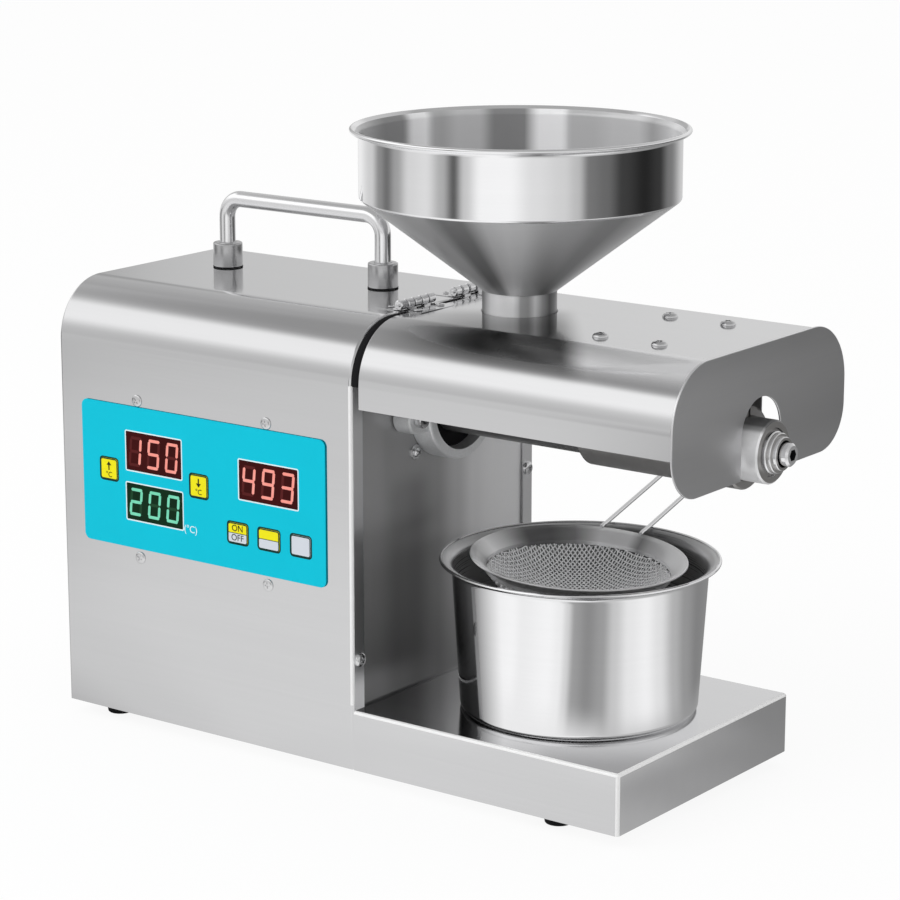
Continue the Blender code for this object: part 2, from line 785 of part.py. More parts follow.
def hinge_leaf(name, side, direction, own, parent=None):
    """One leaf of a hinge with its tabs and the knuckles numbered in own."""
    gap = 0.0004
    pitch = HINGE_LENGTH / KNUCKLES
    first = AXIS_Y + side * HINGE_OFFSET - HINGE_LENGTH / 2
    near = HINGE_X + direction * (KNUCKLE_RADIUS + gap)
    far = HINGE_X + direction * (LEAF_REACH + KNUCKLE_RADIUS)
    inner = near + direction * 0.0005
    low = HEIGHT + SEAT
    leaf = boxes(
        name,
        [((min(near, far), first, low), (max(near, far), first + HINGE_LENGTH, low + LEAF))],
        parent,
    )
    for k in own:
        start, end = first + k * pitch + gap / 2, first + (k + 1) * pitch - gap / 2
        tab = boxes(
            f"{name}_tab_{k}",
            [((min(HINGE_X, inner), start, low), (max(HINGE_X, inner), end, low + LEAF))],
            parent,
        )
        knuckle = rods(
            f"{name}_knuckle_{k}",
            [((HINGE_X, start, HINGE_Z), (HINGE_X, end, HINGE_Z), KNUCKLE_RADIUS)],
            12,
            parent,
        )
        join(leaf, tab, knuckle)
    reach = HINGE_LENGTH / 2 + gap
    middle = AXIS_Y + side * HINGE_OFFSET
    ends = (HINGE_X, middle - reach, HINGE_Z), (HINGE_X, middle + reach, HINGE_Z)
    cut(leaf, rods(f"{name}_bore", [(*ends, PIN_RADIUS + SEAT)], 8, parent))
    return leaf


def hinges(hood_pivot):
    for row, side in (("front", -1), ("rear", 1)):
        fixed = hinge_leaf(f"hinge_leaf_{row}", side, -1, range(0, KNUCKLES, 2))
        finish(fixed, POLISHED, 0.6)
        swung = hinge_leaf(f"hinge_leaf_hood_{row}", side, 1, range(1, KNUCKLES, 2), hood_pivot)
        finish(swung, POLISHED, 0.6)
        half = HINGE_LENGTH / 2 + 0.0006
        middle = AXIS_Y + side * HINGE_OFFSET
        ends = (HINGE_X, middle - half, HINGE_Z), (HINGE_X, middle + half, HINGE_Z)
        finish(rods(f"hinge_pin_{row}", [(*ends, PIN_RADIUS)], 8), STEEL, 0.6)


def hood(hood_pivot):
    shell = folded("hood_shell", arch(HOOD_BOTTOM), HOOD_START, HOOD_END, SHEET, hood_pivot)
    bores = [
        (
            (THROAT_X, AXIS_Y, HEIGHT - 2 * SHEET),
            (THROAT_X, AXIS_Y, HEIGHT + SHEET),
            NECK_RADIUS + 2 * SEAT,
        )
    ]
    cut(shell, rods("hood_mouth", bores, 32, hood_pivot))
    places = [(x, AXIS_Y + s * HOOD_SCREW_SPREAD) for x in HOOD_SCREW_X for s in (-1, 1)]
    bores = [
        ((x, y, HEIGHT - 2 * SHEET), (x, y, HEIGHT + SHEET), SMALL_SCREW + SCREW_PLAY)
        for x, y in places
    ]
    cut(shell, rods("hood_bores", bores, 8, hood_pivot))
    finish(shell, STEEL)

    slot = BARREL_RADIUS + SLOT_PLAY
    top_radius = CORNER_RADIUS - PLATE_OVERHANG
    low, high = -PLATE_OVERHANG, DEPTH + PLATE_OVERHANG
    crown = HEIGHT + 0.0007
    outline = arc((low + PLATE_LOW_RADIUS, PLATE_BOTTOM + PLATE_LOW_RADIUS), PLATE_LOW_RADIUS,
                  -math.pi / 2, -math.pi, 6)
    outline += arc((low + top_radius, crown - top_radius), top_radius, math.pi, math.pi / 2, 8)
    outline += arc((high - top_radius, crown - top_radius), top_radius, math.pi / 2, 0, 8)
    outline += arc((high - PLATE_LOW_RADIUS, PLATE_BOTTOM + PLATE_LOW_RADIUS), PLATE_LOW_RADIUS,
                   0, -math.pi / 2, 6)
    outline.append((AXIS_Y + slot, PLATE_BOTTOM))
    outline += arc((AXIS_Y, PLATE_SLOT_TOP - slot), slot, 0, math.pi, 12)
    outline.append((AXIS_Y - slot, PLATE_BOTTOM))
    plate = flat("hood_end_plate", [outline], PLATE_FACE, PLATE_FACE + SHEET, "X", hood_pivot)
    finish(plate, DARK_STEEL)

    under = HEIGHT - SHEET - SEAT
    seat_ring = turned(
        "hopper_seat",
        [
            (NECK_RADIUS + 0.0066, 0),
            (NECK_RADIUS + 0.0066, -0.0032),
            (SPIGOT_RADIUS + 2 * SEAT, -0.0032),
            (SPIGOT_RADIUS + 2 * SEAT, 0),
        ],
        (THROAT_X, AXIS_Y, under),
        hood_pivot,
        along_x=False,
    )
    finish(seat_ring, STEEL, 0.6)

    half = HOOD_SCREW_SPREAD + 0.009
    drop = 0.053
    x0, x1 = HOOD_SCREW_X[0] - 0.010, HOOD_SCREW_X[1] + 0.0168
    shield_outline = [
        (AXIS_Y - half, under - drop),
        (AXIS_Y - half, under),
        (AXIS_Y + half, under),
        (AXIS_Y + half, under - drop),
    ]
    shield = folded("heat_shield", shield_outline, x0, x1, SHEET, hood_pivot)
    bores = [((x, y, under - 2 * SHEET), (x, y, under + SHEET), SMALL_SCREW + SCREW_PLAY)
             for x, y in places]
    cut(shield, rods("shield_bores", bores, 8, hood_pivot))
    finish(shield, STEEL)
    gasket = folded(
        "seam_gasket",
        arch(HEIGHT - CORNER_RADIUS),
        HOUSING_LENGTH + SEAT,
        HOOD_START - SEAT,
        GASKET_THICKNESS,
    )
    finish(gasket, RUBBER)


def press_head():
    centre = (0, AXIS_Y, AXIS_Z)
    face = WALL_FACE + SEAT
    bore = BARREL_RADIUS + SEAT
    barrel_tail = face + 0.002 + SEAT
    flange = turned(
        "chamber_flange",
        [
            (FLANGE_RADIUS - 0.001, face + FLANGE_DEPTH),
            (FLANGE_RADIUS, face + FLANGE_DEPTH - 0.001),
            (FLANGE_RADIUS, face),
            (SHAFT_RADIUS + 0.002, face),
            (SHAFT_RADIUS + 0.002, face + 0.002),
            (bore, face + 0.002),
            (bore, face + FLANGE_BASE),
            (FLANGE_RECESS, face + FLANGE_BASE),
            (FLANGE_RECESS + 0.001, face + FLANGE_DEPTH),
        ],
        centre,
    )
    lug_y = AXIS_Y - FLANGE_RADIUS - 0.007
    lug_z = AXIS_Z - 0.003
    lug_radius = 0.0085
    lug_end = face + FLANGE_DEPTH - 0.002
    lug = flat(
        "flange_lug",
        [
            arc((lug_y, lug_z), lug_radius, math.pi / 2, 3 * math.pi / 2, 8)
            + [
                (AXIS_Y - FLANGE_RADIUS + 0.003, lug_z - lug_radius),
                (AXIS_Y - FLANGE_RADIUS + 0.003, lug_z + lug_radius),
            ]
        ],
        face,
        lug_end,
        "X",
    )
    join(flange, lug)
    finish(flange, CAST, 0.6)
    head = rods(
        "clamp_screw",
        [((lug_end + SEAT, lug_y, lug_z), (lug_end + SEAT + 0.004, lug_y, lug_z), 0.0045)],
        18,
    )
    hexagon = rods(
        "clamp_screw_socket",
        [((lug_end + 0.002, lug_y, lug_z), (lug_end + 0.006, lug_y, lug_z), 0.0024)],
        6,
    )
    cut(head, hexagon)
    finish(head, BLACK)

    barrel = turned(
        "press_barrel",
        [
            (BARREL_RADIUS - 0.0008, BARREL_END),
            (BARREL_RADIUS, BARREL_END - 0.0008),
            (BARREL_RADIUS, barrel_tail),
            (BARREL_BORE, barrel_tail),
            (BARREL_BORE, NOZZLE_SEAT),
            (NOZZLE_THREAD + SEAT, NOZZLE_SEAT),
            (NOZZLE_THREAD + SEAT, BARREL_END),
        ],
        centre,
    )
    cup = turned(
        "throat_cup",
        [
            (0, THROAT_TOP),
            (THROAT_RADIUS, THROAT_TOP),
            (THROAT_RADIUS, THROAT_TOP - 0.004),
            (THROAT_HOLE + 0.003, AXIS_Z + BARREL_BORE + 0.001),
            (0, AXIS_Z + BARREL_BORE + 0.001),
        ],
        (THROAT_X, AXIS_Y, 0),
        along_x=False,
        steps=24,
    )
    join(barrel, cup)
    funnel = turned(
        "throat_funnel",
        [
            (0, THROAT_TOP + 0.001),
            (THROAT_RADIUS - 0.001, THROAT_TOP + 0.001),
            (THROAT_RADIUS - 0.0015, THROAT_TOP - 0.004),
            (THROAT_HOLE, AXIS_Z + BARREL_RADIUS),
            (THROAT_HOLE, AXIS_Z + 0.002),
            (0, AXIS_Z + 0.002),
        ],
        (THROAT_X, AXIS_Y, 0),
        along_x=False,
        steps=24,
    )
    slots = []
    for k in range(SLOT_COUNT):
        x = SLOT_START + k * SLOT_PITCH
        slots.append(
            (
                (x, AXIS_Y - BARREL_BORE * 0.75, AXIS_Z - BARREL_RADIUS - 0.002),
                (x + SLOT_WIDTH, AXIS_Y + BARREL_BORE * 0.75, AXIS_Z - BARREL_BORE * 0.5),
            )
        )
    cut(barrel, funnel, boxes("oil_slots", slots))
    finish(barrel, STEEL, 0.6)

    band = turned(
        "heater_band",
        [
            (HEATER_RADIUS - 0.001, HEATER_END),
            (HEATER_RADIUS, HEATER_END - 0.001),
            (HEATER_RADIUS, HEATER_START + 0.003),
            (BARREL_RADIUS + 0.0012, HEATER_START),
            (BARREL_RADIUS + SEAT, HEATER_START),
            (BARREL_RADIUS + SEAT, HEATER_END),
        ],
        centre,
    )
    split = boxes(
        "band_split",
        [
            (
                (HEATER_START - 0.001, AXIS_Y - 0.001, AXIS_Z + BARREL_RADIUS - 0.002),
                (HEATER_END + 0.001, AXIS_Y + 0.001, AXIS_Z + HEATER_RADIUS + 0.002),
            )
        ],
    )
    cut(band, split)
    finish(band, DARK_STEEL, 0.6)


def flight(name, parent):
    """The auger's flight: a helix whose pitch shortens towards the outlet, lofted section by
    section from just inside the root to the bore."""
    bm = bmesh.new()
    outer = BARREL_BORE - SEAT
    per_turn = 12
    count = FLIGHT_TURNS * per_turn
    shorten = 0.35
    span = FLIGHT_END - FLIGHT_START
    previous = None
    for k in range(count + 1):
        share = k / count
        along = FLIGHT_START + span * (share + shorten * share * (1 - share))
        angle = 2 * math.pi * FLIGHT_TURNS * share
        inner = ROOT_START + (ROOT_END - ROOT_START) * share - 0.0012
        ring = []
        for radius, shift in ((inner, -1.3), (outer, -0.8), (outer, 0.8), (inner, 1.3)):
            x = along + shift * FLIGHT_THICKNESS / 2
            y = AXIS_Y + radius * math.cos(angle)
            z = AXIS_Z + radius * math.sin(angle)
            ring.append(bm.verts.new((x, y, z)))
        if previous:
            for i in range(4):
                j = (i + 1) % 4
                bm.faces.new((previous[i], previous[j], ring[j], ring[i]))
        else:
            bm.faces.new(ring)
        previous = ring
    bm.faces.new(reversed(previous))
    bmesh.ops.recalc_face_normals(bm, faces=bm.faces)
    return mesh_piece(name, bm, parent)


def spindle():
    axis = pivot("spindle_axis", (0, AXIS_Y, AXIS_Z))
    tail = GEARBOX_END + COUPLING_LENGTH - 0.007
    screw = turned(
        "press_screw",
        [
            (0, TIP_END),
            (TIP_RADIUS - 0.0012, TIP_END),
            (TIP_RADIUS, TIP_END - 0.0012),
            (TIP_RADIUS, FLIGHT_END + 0.004),
            (ROOT_END, FLIGHT_END + 0.001),
            (ROOT_START, FLIGHT_START - 0.002),
            (SHAFT_RADIUS, FLIGHT_START - 0.004),
            (SHAFT_RADIUS, tail),
            (0, tail),
        ],
        (0, AXIS_Y, AXIS_Z),
        axis,
        steps=16,
    )
    join(screw, flight("screw_flight", axis))
    socket = rods(
        "tip_socket",
        [((TIP_END - 0.005, AXIS_Y, AXIS_Z), (TIP_END + 0.002, AXIS_Y, AXIS_Z), SOCKET_RADIUS)],
        6,
        axis,
    )
    cut(screw, socket)
    finish(screw, POLISHED, 0.6)

    sleeve_start = GEARBOX_END + 2 * SEAT
    sleeve = turned(
        "drive_coupling",
        [
            (COUPLING_RADIUS, sleeve_start + COUPLING_LENGTH),
            (COUPLING_RADIUS, sleeve_start),
            (SHAFT_RADIUS + SEAT, sleeve_start),
            (SHAFT_RADIUS + SEAT, sleeve_start + COUPLING_LENGTH),
        ],
        (0, AXIS_Y, AXIS_Z),
        axis,
        steps=24,
    )
    finish(sleeve, DARK_STEEL, 0.6)
    shaft = rods(
        "output_shaft",
        [((GEARBOX_START + 0.02, AXIS_Y, AXIS_Z), (tail - SEAT, AXIS_Y, AXIS_Z), SHAFT_RADIUS)],
        24,
        axis,
    )
    finish(shaft, STEEL, 0.6)

    nozzle_axis = pivot("nozzle_axis", (0, AXIS_Y, AXIS_Z))
    nozzle = turned(
        "cake_nozzle",
        [
            (NOZZLE_RADIUS - 0.0022, NOZZLE_END),
            (NOZZLE_RADIUS, NOZZLE_SHOULDER),
            (NOZZLE_RADIUS, BARREL_END - 0.001),
            (NOZZLE_THREAD, BARREL_END - 0.001),
            (NOZZLE_THREAD, NOZZLE_SEAT + SEAT),
            (NOZZLE_BORE, NOZZLE_SEAT + SEAT),
            (NOZZLE_BORE - 0.001, NOZZLE_END),
        ],
        (0, AXIS_Y, AXIS_Z),
        nozzle_axis,
        steps=24,
    )
    finish(nozzle, POLISHED, 0.6)


def drive():
    half = GEARBOX_WIDTH / 2
    case = boxes(
        "gearbox_case",
        [
            (
                (GEARBOX_START, AXIS_Y - half, GEARBOX_BOTTOM),
                (GEARBOX_END, AXIS_Y + half, GEARBOX_TOP),
            )
        ],
    )
    edges = case.modifiers.new("edges", "BEVEL")
    edges.width = 0.006
    edges.segments = 2
    bore = rods(
        "case_bore",
        [
            (
                (GEARBOX_START + 0.019, AXIS_Y, AXIS_Z),
                (GEARBOX_END + 0.002, AXIS_Y, AXIS_Z),
                SHAFT_RADIUS + SEAT,
            )
        ],
        24,
    )
    inner = WALL_FACE - WALL_THICKNESS - SEAT
    reach = GEARBOX_END - 0.008, inner
    for number, (y, z) in enumerate(gearbox_bolt_places()):
        ends = (reach[0], y, z), (reach[1], y, z)
        join(case, rods(f"case_foot_{number}", [(*ends, 0.0065)], 12))
        ends = (GEARBOX_END - 0.002, y, z), (inner + 0.002, y, z)
        cut(case, rods(f"case_thread_{number}", [(*ends, GEARBOX_BOLT + SCREW_PLAY)], 8))
    cut(case, bore)
    finish(case, CAST, 0.6)

    block = turned(
        "bearing_block",
        [
            (BLOCK_RADIUS, inner),
            (BLOCK_RADIUS, inner - BEARING_WIDTH - 0.001),
            (BEARING_RADIUS + SEAT, inner - BEARING_WIDTH - 0.001),
            (BEARING_RADIUS + SEAT, inner),
        ],
        (0, AXIS_Y, AXIS_Z),
    )
    finish(block, CAST, 0.6)
    bearing = turned(
        "shaft_bearing",
        [
            (BEARING_RADIUS, inner - 0.0005),
            (BEARING_RADIUS, inner - BEARING_WIDTH - 0.0005),
            (SHAFT_RADIUS + SEAT, inner - BEARING_WIDTH - 0.0005),
            (SHAFT_RADIUS + SEAT, inner - 0.0005),
        ],
        (0, AXIS_Y, AXIS_Z),
    )
    finish(bearing, POLISHED, 0.6)

    motor = turned(
        "motor_body",
        [
            (0, GEARBOX_START - SEAT),
            (MOTOR_RADIUS, GEARBOX_START - SEAT),
            (MOTOR_RADIUS, MOTOR_START + 0.004),
            (MOTOR_RADIUS - 0.004, MOTOR_START),
            (0, MOTOR_START),
        ],
        (0, AXIS_Y, MOTOR_Z),
    )
    finish(motor, BLACK, 0.6)
    middle = (MOTOR_START + GEARBOX_START) / 2
    along, across = CRADLE_SIZE[0] / 2, CRADLE_SIZE[1] / 2
    low, high = FLOOR_TOP + SEAT, MOTOR_Z - MOTOR_RADIUS * 0.56
    cradle = boxes(
        "motor_cradle",
        [((middle - along, AXIS_Y - across, low), (middle + along, AXIS_Y + across, high))],
    )
    ends = (middle - along - SHEET, AXIS_Y, MOTOR_Z), (middle + along + SHEET, AXIS_Y, MOTOR_Z)
    saddle = rods("cradle_saddle", [(*ends, MOTOR_RADIUS + SEAT)], 40)
    cut(cradle, saddle)
    finish(cradle, STEEL)


def fan():
    start = 2 * SHEET + 2 * SEAT
    end = start + FAN_DEPTH
    half = FAN_SIZE / 2
    ring = half - 0.0025
    frame = flat(
        "fan_frame",
        [
            rounded(AXIS_Y - half, AXIS_Y + half, FAN_Z - half, FAN_Z + half, 0.004, 3),
            circle((AXIS_Y, FAN_Z), ring, 32),
        ],
        start,
        end,
        "X",
    )
    arm = 0.002
    reach = ring + 0.001
    across = boxes(
        "fan_arm_across",
        [((end - 0.002, AXIS_Y - reach, FAN_Z - arm), (end, AXIS_Y + reach, FAN_Z + arm))],
    )
    upright = boxes(
        "fan_arm_upright",
        [((end - 0.0022, AXIS_Y - arm, FAN_Z - reach), (end - 0.0002, AXIS_Y + arm, FAN_Z + reach))],
    )
    stub = rods(
        "fan_stub",
        [((end - 0.009, AXIS_Y, FAN_Z), (end - 0.001, AXIS_Y, FAN_Z), 0.002)],
        12,
    )
    join(frame, across, upright, stub)
    finish(frame, BLACK)

    axle = pivot("fan_axis", (0, AXIS_Y, FAN_Z))
    hub_end = end - 0.003
    rotor = rods(
        "fan_rotor",
        [((start + 0.0015, AXIS_Y, FAN_Z), (hub_end, AXIS_Y, FAN_Z), 0.013)],
        28,
        axle,
    )
    for k in range(FAN_BLADES):
        bm = bmesh.new()
        add_box(bm, (-0.006, 0.011, -0.0005), (0.006, ring - 0.0015, 0.0005))
        pitch = Matrix.Rotation(math.radians(38), 4, "Y")
        spin = Matrix.Rotation(2 * math.pi * k / FAN_BLADES, 4, "X")
        place = Matrix.Translation((start + 0.0015 + (hub_end - start) / 2 - 0.0008, AXIS_Y, FAN_Z))
        bmesh.ops.transform(bm, matrix=place @ spin @ pitch, verts=bm.verts)
        join(rotor, mesh_piece(f"fan_blade_{k}", bm, axle))
    bore = rods(
        "rotor_bore",
        [((start + 0.004, AXIS_Y, FAN_Z), (end, AXIS_Y, FAN_Z), 0.0023)],
        12,
        axle,
    )
    cut(rotor, bore)
    finish(rotor, BLACK, 0.6)


def power():
    y, z = INLET_AT
    wide, tall = INLET_SIZE
    lip = PANEL_LIP + SEAT
    front, back = 0.0, SHEET
    inlet = boxes(
        "power_inlet",
        [((front, y - wide / 2, z - tall / 2), (back, y + wide / 2, z + tall / 2))],
    )
    body = boxes(
        "inlet_body",
        [
            (
                (front + 0.0004, y - wide / 2 + lip, z - tall / 2 + lip),
                (0.022, y + wide / 2 - lip, z + tall / 2 - lip),
            )
        ],
    )
    wall = lip + 0.0015
    cavity = flat(
        "inlet_cavity",
        [
            rounded(
                y - wide / 2 + wall, y + wide / 2 - wall, z - tall / 2 + wall, z + tall / 2 - wall, 0.003, 3
            )
        ],
        -0.001,
        0.018,
        "X",
    )
    pins = [
        ((0.007, y + dy - 0.001, z + dz - 0.002), (0.019, y + dy + 0.001, z + dz + 0.002))
        for dy, dz in ((-0.007, -0.002), (0.0, 0.003), (0.007, -0.002))
    ]
    join(inlet, body)
    cut(inlet, cavity)
    join(inlet, boxes("inlet_pins", pins))
    finish(inlet, BLACK)

    y, z = SWITCH_AT
    wide, tall = SWITCH_SIZE
    frame = boxes(
        "switch_frame",
        [((front, y - wide / 2, z - tall / 2), (back, y + wide / 2, z + tall / 2))],
    )
    body = boxes(
        "switch_body",
        [
            (
                (front + 0.0004, y - wide / 2 + lip, z - tall / 2 + lip),
                (0.018, y + wide / 2 - lip, z + tall / 2 - lip),
            )
        ],
    )
    wall = lip + 0.0009
    cavity = boxes(
        "switch_cavity",
        [
            (
                (-0.001, y - wide / 2 + wall, z - tall / 2 + wall),
                (0.014, y + wide / 2 - wall, z + tall / 2 - wall),
            )
        ],
    )
    join(frame, body)
    cut(frame, cavity)
    finish(frame, BLACK)
    rock = pivot("rocker_axis", (ROCKER_DEPTH, y, z))
    width = wide / 2 - wall - SEAT
    outline = [(0.002, -0.0055), (0.002, 0.0055), (-0.0062, 0.0078), (-0.0050, 0), (-0.0062, -0.0078)]
    turn = Matrix.Rotation(-ROCKER_THROW / 2, 2)
    leaned = [tuple(turn @ Vector(point)) for point in outline]
    rocker = flat(
        "switch_rocker",
        [[(ROCKER_DEPTH + u, z + v) for u, v in leaned]],
        y - width,
        y + width,
        "Y",
        rock,
    )
    finish(rocker, BLACK)


def hopper(hood_pivot):
    lift = pivot("hopper_lift", (THROAT_X, AXIS_Y, HEIGHT), hood_pivot)
    wall = HOPPER_WALL
    shoulder = HEIGHT - SHEET
    slope = math.atan2(HOPPER_CREASE - NECK_TOP, HOPPER_RADIUS - NECK_RADIUS)
    drop = wall * math.tan(slope / 2)
    outer = [
        (HOPPER_RIM - 0.0012, HOPPER_TOP),
        (HOPPER_RIM, HOPPER_TOP - 0.0006),
        (HOPPER_RIM - 0.0010, HOPPER_TOP - 0.0014),
        (HOPPER_RADIUS + 0.0012, HOPPER_TOP - 0.0022),
        (HOPPER_RADIUS, HOPPER_TOP - 0.0042),
        (HOPPER_RADIUS, HOPPER_CREASE),
        (NECK_RADIUS, NECK_TOP),
        (NECK_RADIUS, shoulder),
        (SPIGOT_RADIUS, shoulder),
        (SPIGOT_RADIUS, SPIGOT_END),
    ]
    inner = [
        (SPIGOT_RADIUS - wall, SPIGOT_END),
        (SPIGOT_RADIUS - wall, shoulder + wall),
        (NECK_RADIUS - wall, shoulder + wall),
        (NECK_RADIUS - wall, NECK_TOP + drop),
        (HOPPER_RADIUS - wall, HOPPER_CREASE + drop),
        (HOPPER_RADIUS - wall, HOPPER_TOP - 0.0035),
        (HOPPER_RADIUS + 0.0004, HOPPER_TOP - 0.0012),
    ]
    piece = turned("hopper", outer + inner, (THROAT_X, AXIS_Y, 0), lift, along_x=False, steps=32)
    finish(piece, POLISHED, 0.6)


def pot():
    slide = pivot("pot_slide", (POT_X, POT_Y, POT_BASE))
    wall = POT_WALL
    top = POT_HEIGHT
    outer = [
        (POT_RIM - 0.0008, top),
        (POT_RIM, top - 0.0007),
        (POT_RIM - 0.0008, top - 0.0014),
        (POT_MOUTH + 0.0025, top - 0.0040),
        (POT_MOUTH, top - 0.0070),
        (POT_FOOT, 0.0045),
        (POT_FOOT - 0.0013, 0.0013),
        (POT_FOOT - 0.0045, 0),
        (0, 0),
    ]
    inner = [
        (0, wall),
        (POT_FOOT - 0.0050, wall),
        (POT_FOOT - 0.0021, 0.0021),
        (POT_FOOT - wall, 0.0045 + wall),
        (POT_MOUTH - wall, top - 0.0066),
        (POT_MOUTH + 0.0018, top - 0.0032),
        (POT_RIM - 0.0016, top - 0.0004),
    ]
    bm = bmesh.new()
    points = [bm.verts.new((radius, 0, height)) for radius, height in outer + inner]
    for first, second in zip(points, points[1:] + points[:1]):
        if first.co.x or second.co.x:
            bm.edges.new((first, second))
    piece = mesh_piece("oil_pot", bm, slide)
    turn = piece.modifiers.new("turn", "SCREW")
    turn.axis = "Z"
    turn.steps = turn.render_steps = 32
    turn.use_merge_vertices = True
    turn.merge_threshold = 0.00001
    turn.use_smooth_shade = True
    piece.location = (POT_X, POT_Y, POT_BASE)
    finish(piece, POLISHED, 0.6)
    return slide


def strainer(pot_slide):
    lift = pivot("strainer_lift", STRAINER_AT, pot_slide)
    lift.rotation_mode = "ZYX"
    lift.rotation_euler = (0, STRAINER_TILT, STRAINER_TURN)

    def fit(piece):
        piece.matrix_parent_inverse = Matrix.Identity(4)
        return piece

    thin = 0.0008
    outer = [
        (STRAINER_RIM - 0.0006, 0.0006),
        (STRAINER_RIM, 0),
        (STRAINER_RIM - 0.0006, -0.0006),
        (STRAINER_RIM - 0.0030, -0.0010),
        (STRAINER_MOUTH + 0.0006, -STRAINER_BAND),
        (STRAINER_MOUTH + 0.0006, -STRAINER_BAND - 0.002),
        (STRAINER_MOUTH - 0.0002, -STRAINER_BAND - 0.002),
        (STRAINER_MOUTH - 0.0002, -STRAINER_BAND + 0.0004),
        (STRAINER_RIM - 0.0035, -0.0001),
    ]
    band = fit(turned("strainer_band", outer, (0, 0, 0), lift, along_x=False, steps=32))
    finish(band, POLISHED, 0.6)

    mouth = STRAINER_MOUTH - 0.0002 - SEAT
    top = -STRAINER_BAND - 0.0015
    sphere = (mouth**2 + BOWL_DEPTH**2) / (2 * BOWL_DEPTH)
    centre = top - BOWL_DEPTH + sphere
    widest = math.asin(mouth / sphere)
    steps = 5
    inner_sphere = sphere - thin
    inner_widest = math.asin((mouth - thin) / inner_sphere)
    outside = [
        (sphere * math.sin(widest * (1 - k / steps)), centre - sphere * math.cos(widest * (1 - k / steps)))
        for k in range(steps + 1)
    ]
    inside = [
        (
            inner_sphere * math.sin(inner_widest * k / steps),
            centre - inner_sphere * math.cos(inner_widest * k / steps),
        )
        for k in range(steps + 1)
    ]
    outside[-1] = (0, outside[-1][1])
    inside[0] = (0, inside[0][1])
    bm = bmesh.new()
    points = [bm.verts.new((radius, 0, height)) for radius, height in outside + inside]
    for first, second in zip(points, points[1:] + points[:1]):
        if first.co.x or second.co.x:
            bm.edges.new((first, second))
    bowl = fit(mesh_piece("strainer_mesh", bm, lift))
    turn = bowl.modifiers.new("turn", "SCREW")
    turn.axis = "Z"
    turn.steps = turn.render_steps = 24
    turn.use_merge_vertices = True
    turn.merge_threshold = 0.00001
    turn.use_smooth_shade = True
    finish(bowl, STEEL, 0.6)

    half = HANDLE_SPREAD / 2
    rise = math.tan(HANDLE_RISE)
    start = STRAINER_RIM - 0.003
    lift_off = WIRE_RADIUS + 0.0006 + SEAT
    end = STRAINER_RIM + HANDLE_REACH - half
    path = [(-half, start, lift_off), (-half, STRAINER_RIM + 0.001, lift_off)]
    path.append((-half, end, lift_off + (end - STRAINER_RIM) * rise))
    for k in range(1, 8):
        angle = math.pi - math.pi * k / 8
        y = end + half * math.sin(angle)
        path.append((half * math.cos(angle), y, lift_off + (y - STRAINER_RIM) * rise))
    path.append((half, end, lift_off + (end - STRAINER_RIM) * rise))
    path += [(half, STRAINER_RIM + 0.001, lift_off), (half, start, lift_off)]
    handle = fit(wire("strainer_handle", path, WIRE_RADIUS, lift))
    finish(handle, POLISHED, 0.6)


# Sizes that several sub-parts share
FLOOR_TOP = FLOOR_RECESS + BASE_SHEET
SMALL_SCREW = 0.0017
GEARBOX_BOLT = 0.0024
HANDLE_BOLT = 0.0029
ROD_SOCKET = 0.0065
PANEL_LIP = 0.002
ROCKER_DEPTH = 0.005
WALL_SCREWS = ((0.0062, 0.062 * UP), (DEPTH - 0.0062, 0.1388 * UP), (DEPTH - 0.0062, 0.062 * UP))
LEFT_SCREWS = [(y, z * UP) for y in (0.0055, DEPTH - 0.0055) for z in (0.030, 0.120, 0.205)]

clear_scene()
PARTS = new_collection("screw_oil_press")
CUTTERS = new_collection("cutters")
DATUM = bpy.data.objects.new("press_datum", None)
PARTS.objects.link(DATUM)
DATUM.location = (-PRESS_MIDDLE_X, -PRESS_MIDDLE_Y, FOOT_HEIGHT)

housing()
base()
panel_controls()
carry_handle()
press_head()
spindle()
drive()
fan()
power()
HOOD = pivot("hood_hinge", (HINGE_X, AXIS_Y, HINGE_Z))
hood(HOOD)
hinges(HOOD)
hopper(HOOD)
strainer(pot())
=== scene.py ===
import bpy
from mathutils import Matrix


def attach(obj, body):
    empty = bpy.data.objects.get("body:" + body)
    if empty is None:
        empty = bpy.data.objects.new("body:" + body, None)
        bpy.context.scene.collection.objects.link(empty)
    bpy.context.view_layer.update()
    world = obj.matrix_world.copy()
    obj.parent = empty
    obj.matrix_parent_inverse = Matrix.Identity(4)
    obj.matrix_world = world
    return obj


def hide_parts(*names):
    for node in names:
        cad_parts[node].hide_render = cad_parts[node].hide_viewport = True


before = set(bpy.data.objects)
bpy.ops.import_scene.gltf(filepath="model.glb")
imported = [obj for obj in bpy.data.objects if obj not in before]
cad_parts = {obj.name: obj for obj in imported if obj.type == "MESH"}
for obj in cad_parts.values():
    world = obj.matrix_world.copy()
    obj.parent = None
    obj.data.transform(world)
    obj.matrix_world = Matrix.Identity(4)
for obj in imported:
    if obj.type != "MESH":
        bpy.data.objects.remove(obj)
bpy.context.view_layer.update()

import math

import bmesh
import bpy
from mathutils import Matrix, Vector

bl_info = {
    "name": "Screw oil press looks",
    "version": (1, 0, 0),
    "blender": (4, 5, 0),
    "location": "3D View > Sidebar > Oil press",
    "description": "Dresses the packed solids of a countertop screw oil press",
    "category": "Object",
}

# The press's own corner, from which every size below is measured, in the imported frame.
CORNER = Vector((-0.21765, -0.12790, 0.008))
TO_FRAME = Matrix.Translation(CORNER)

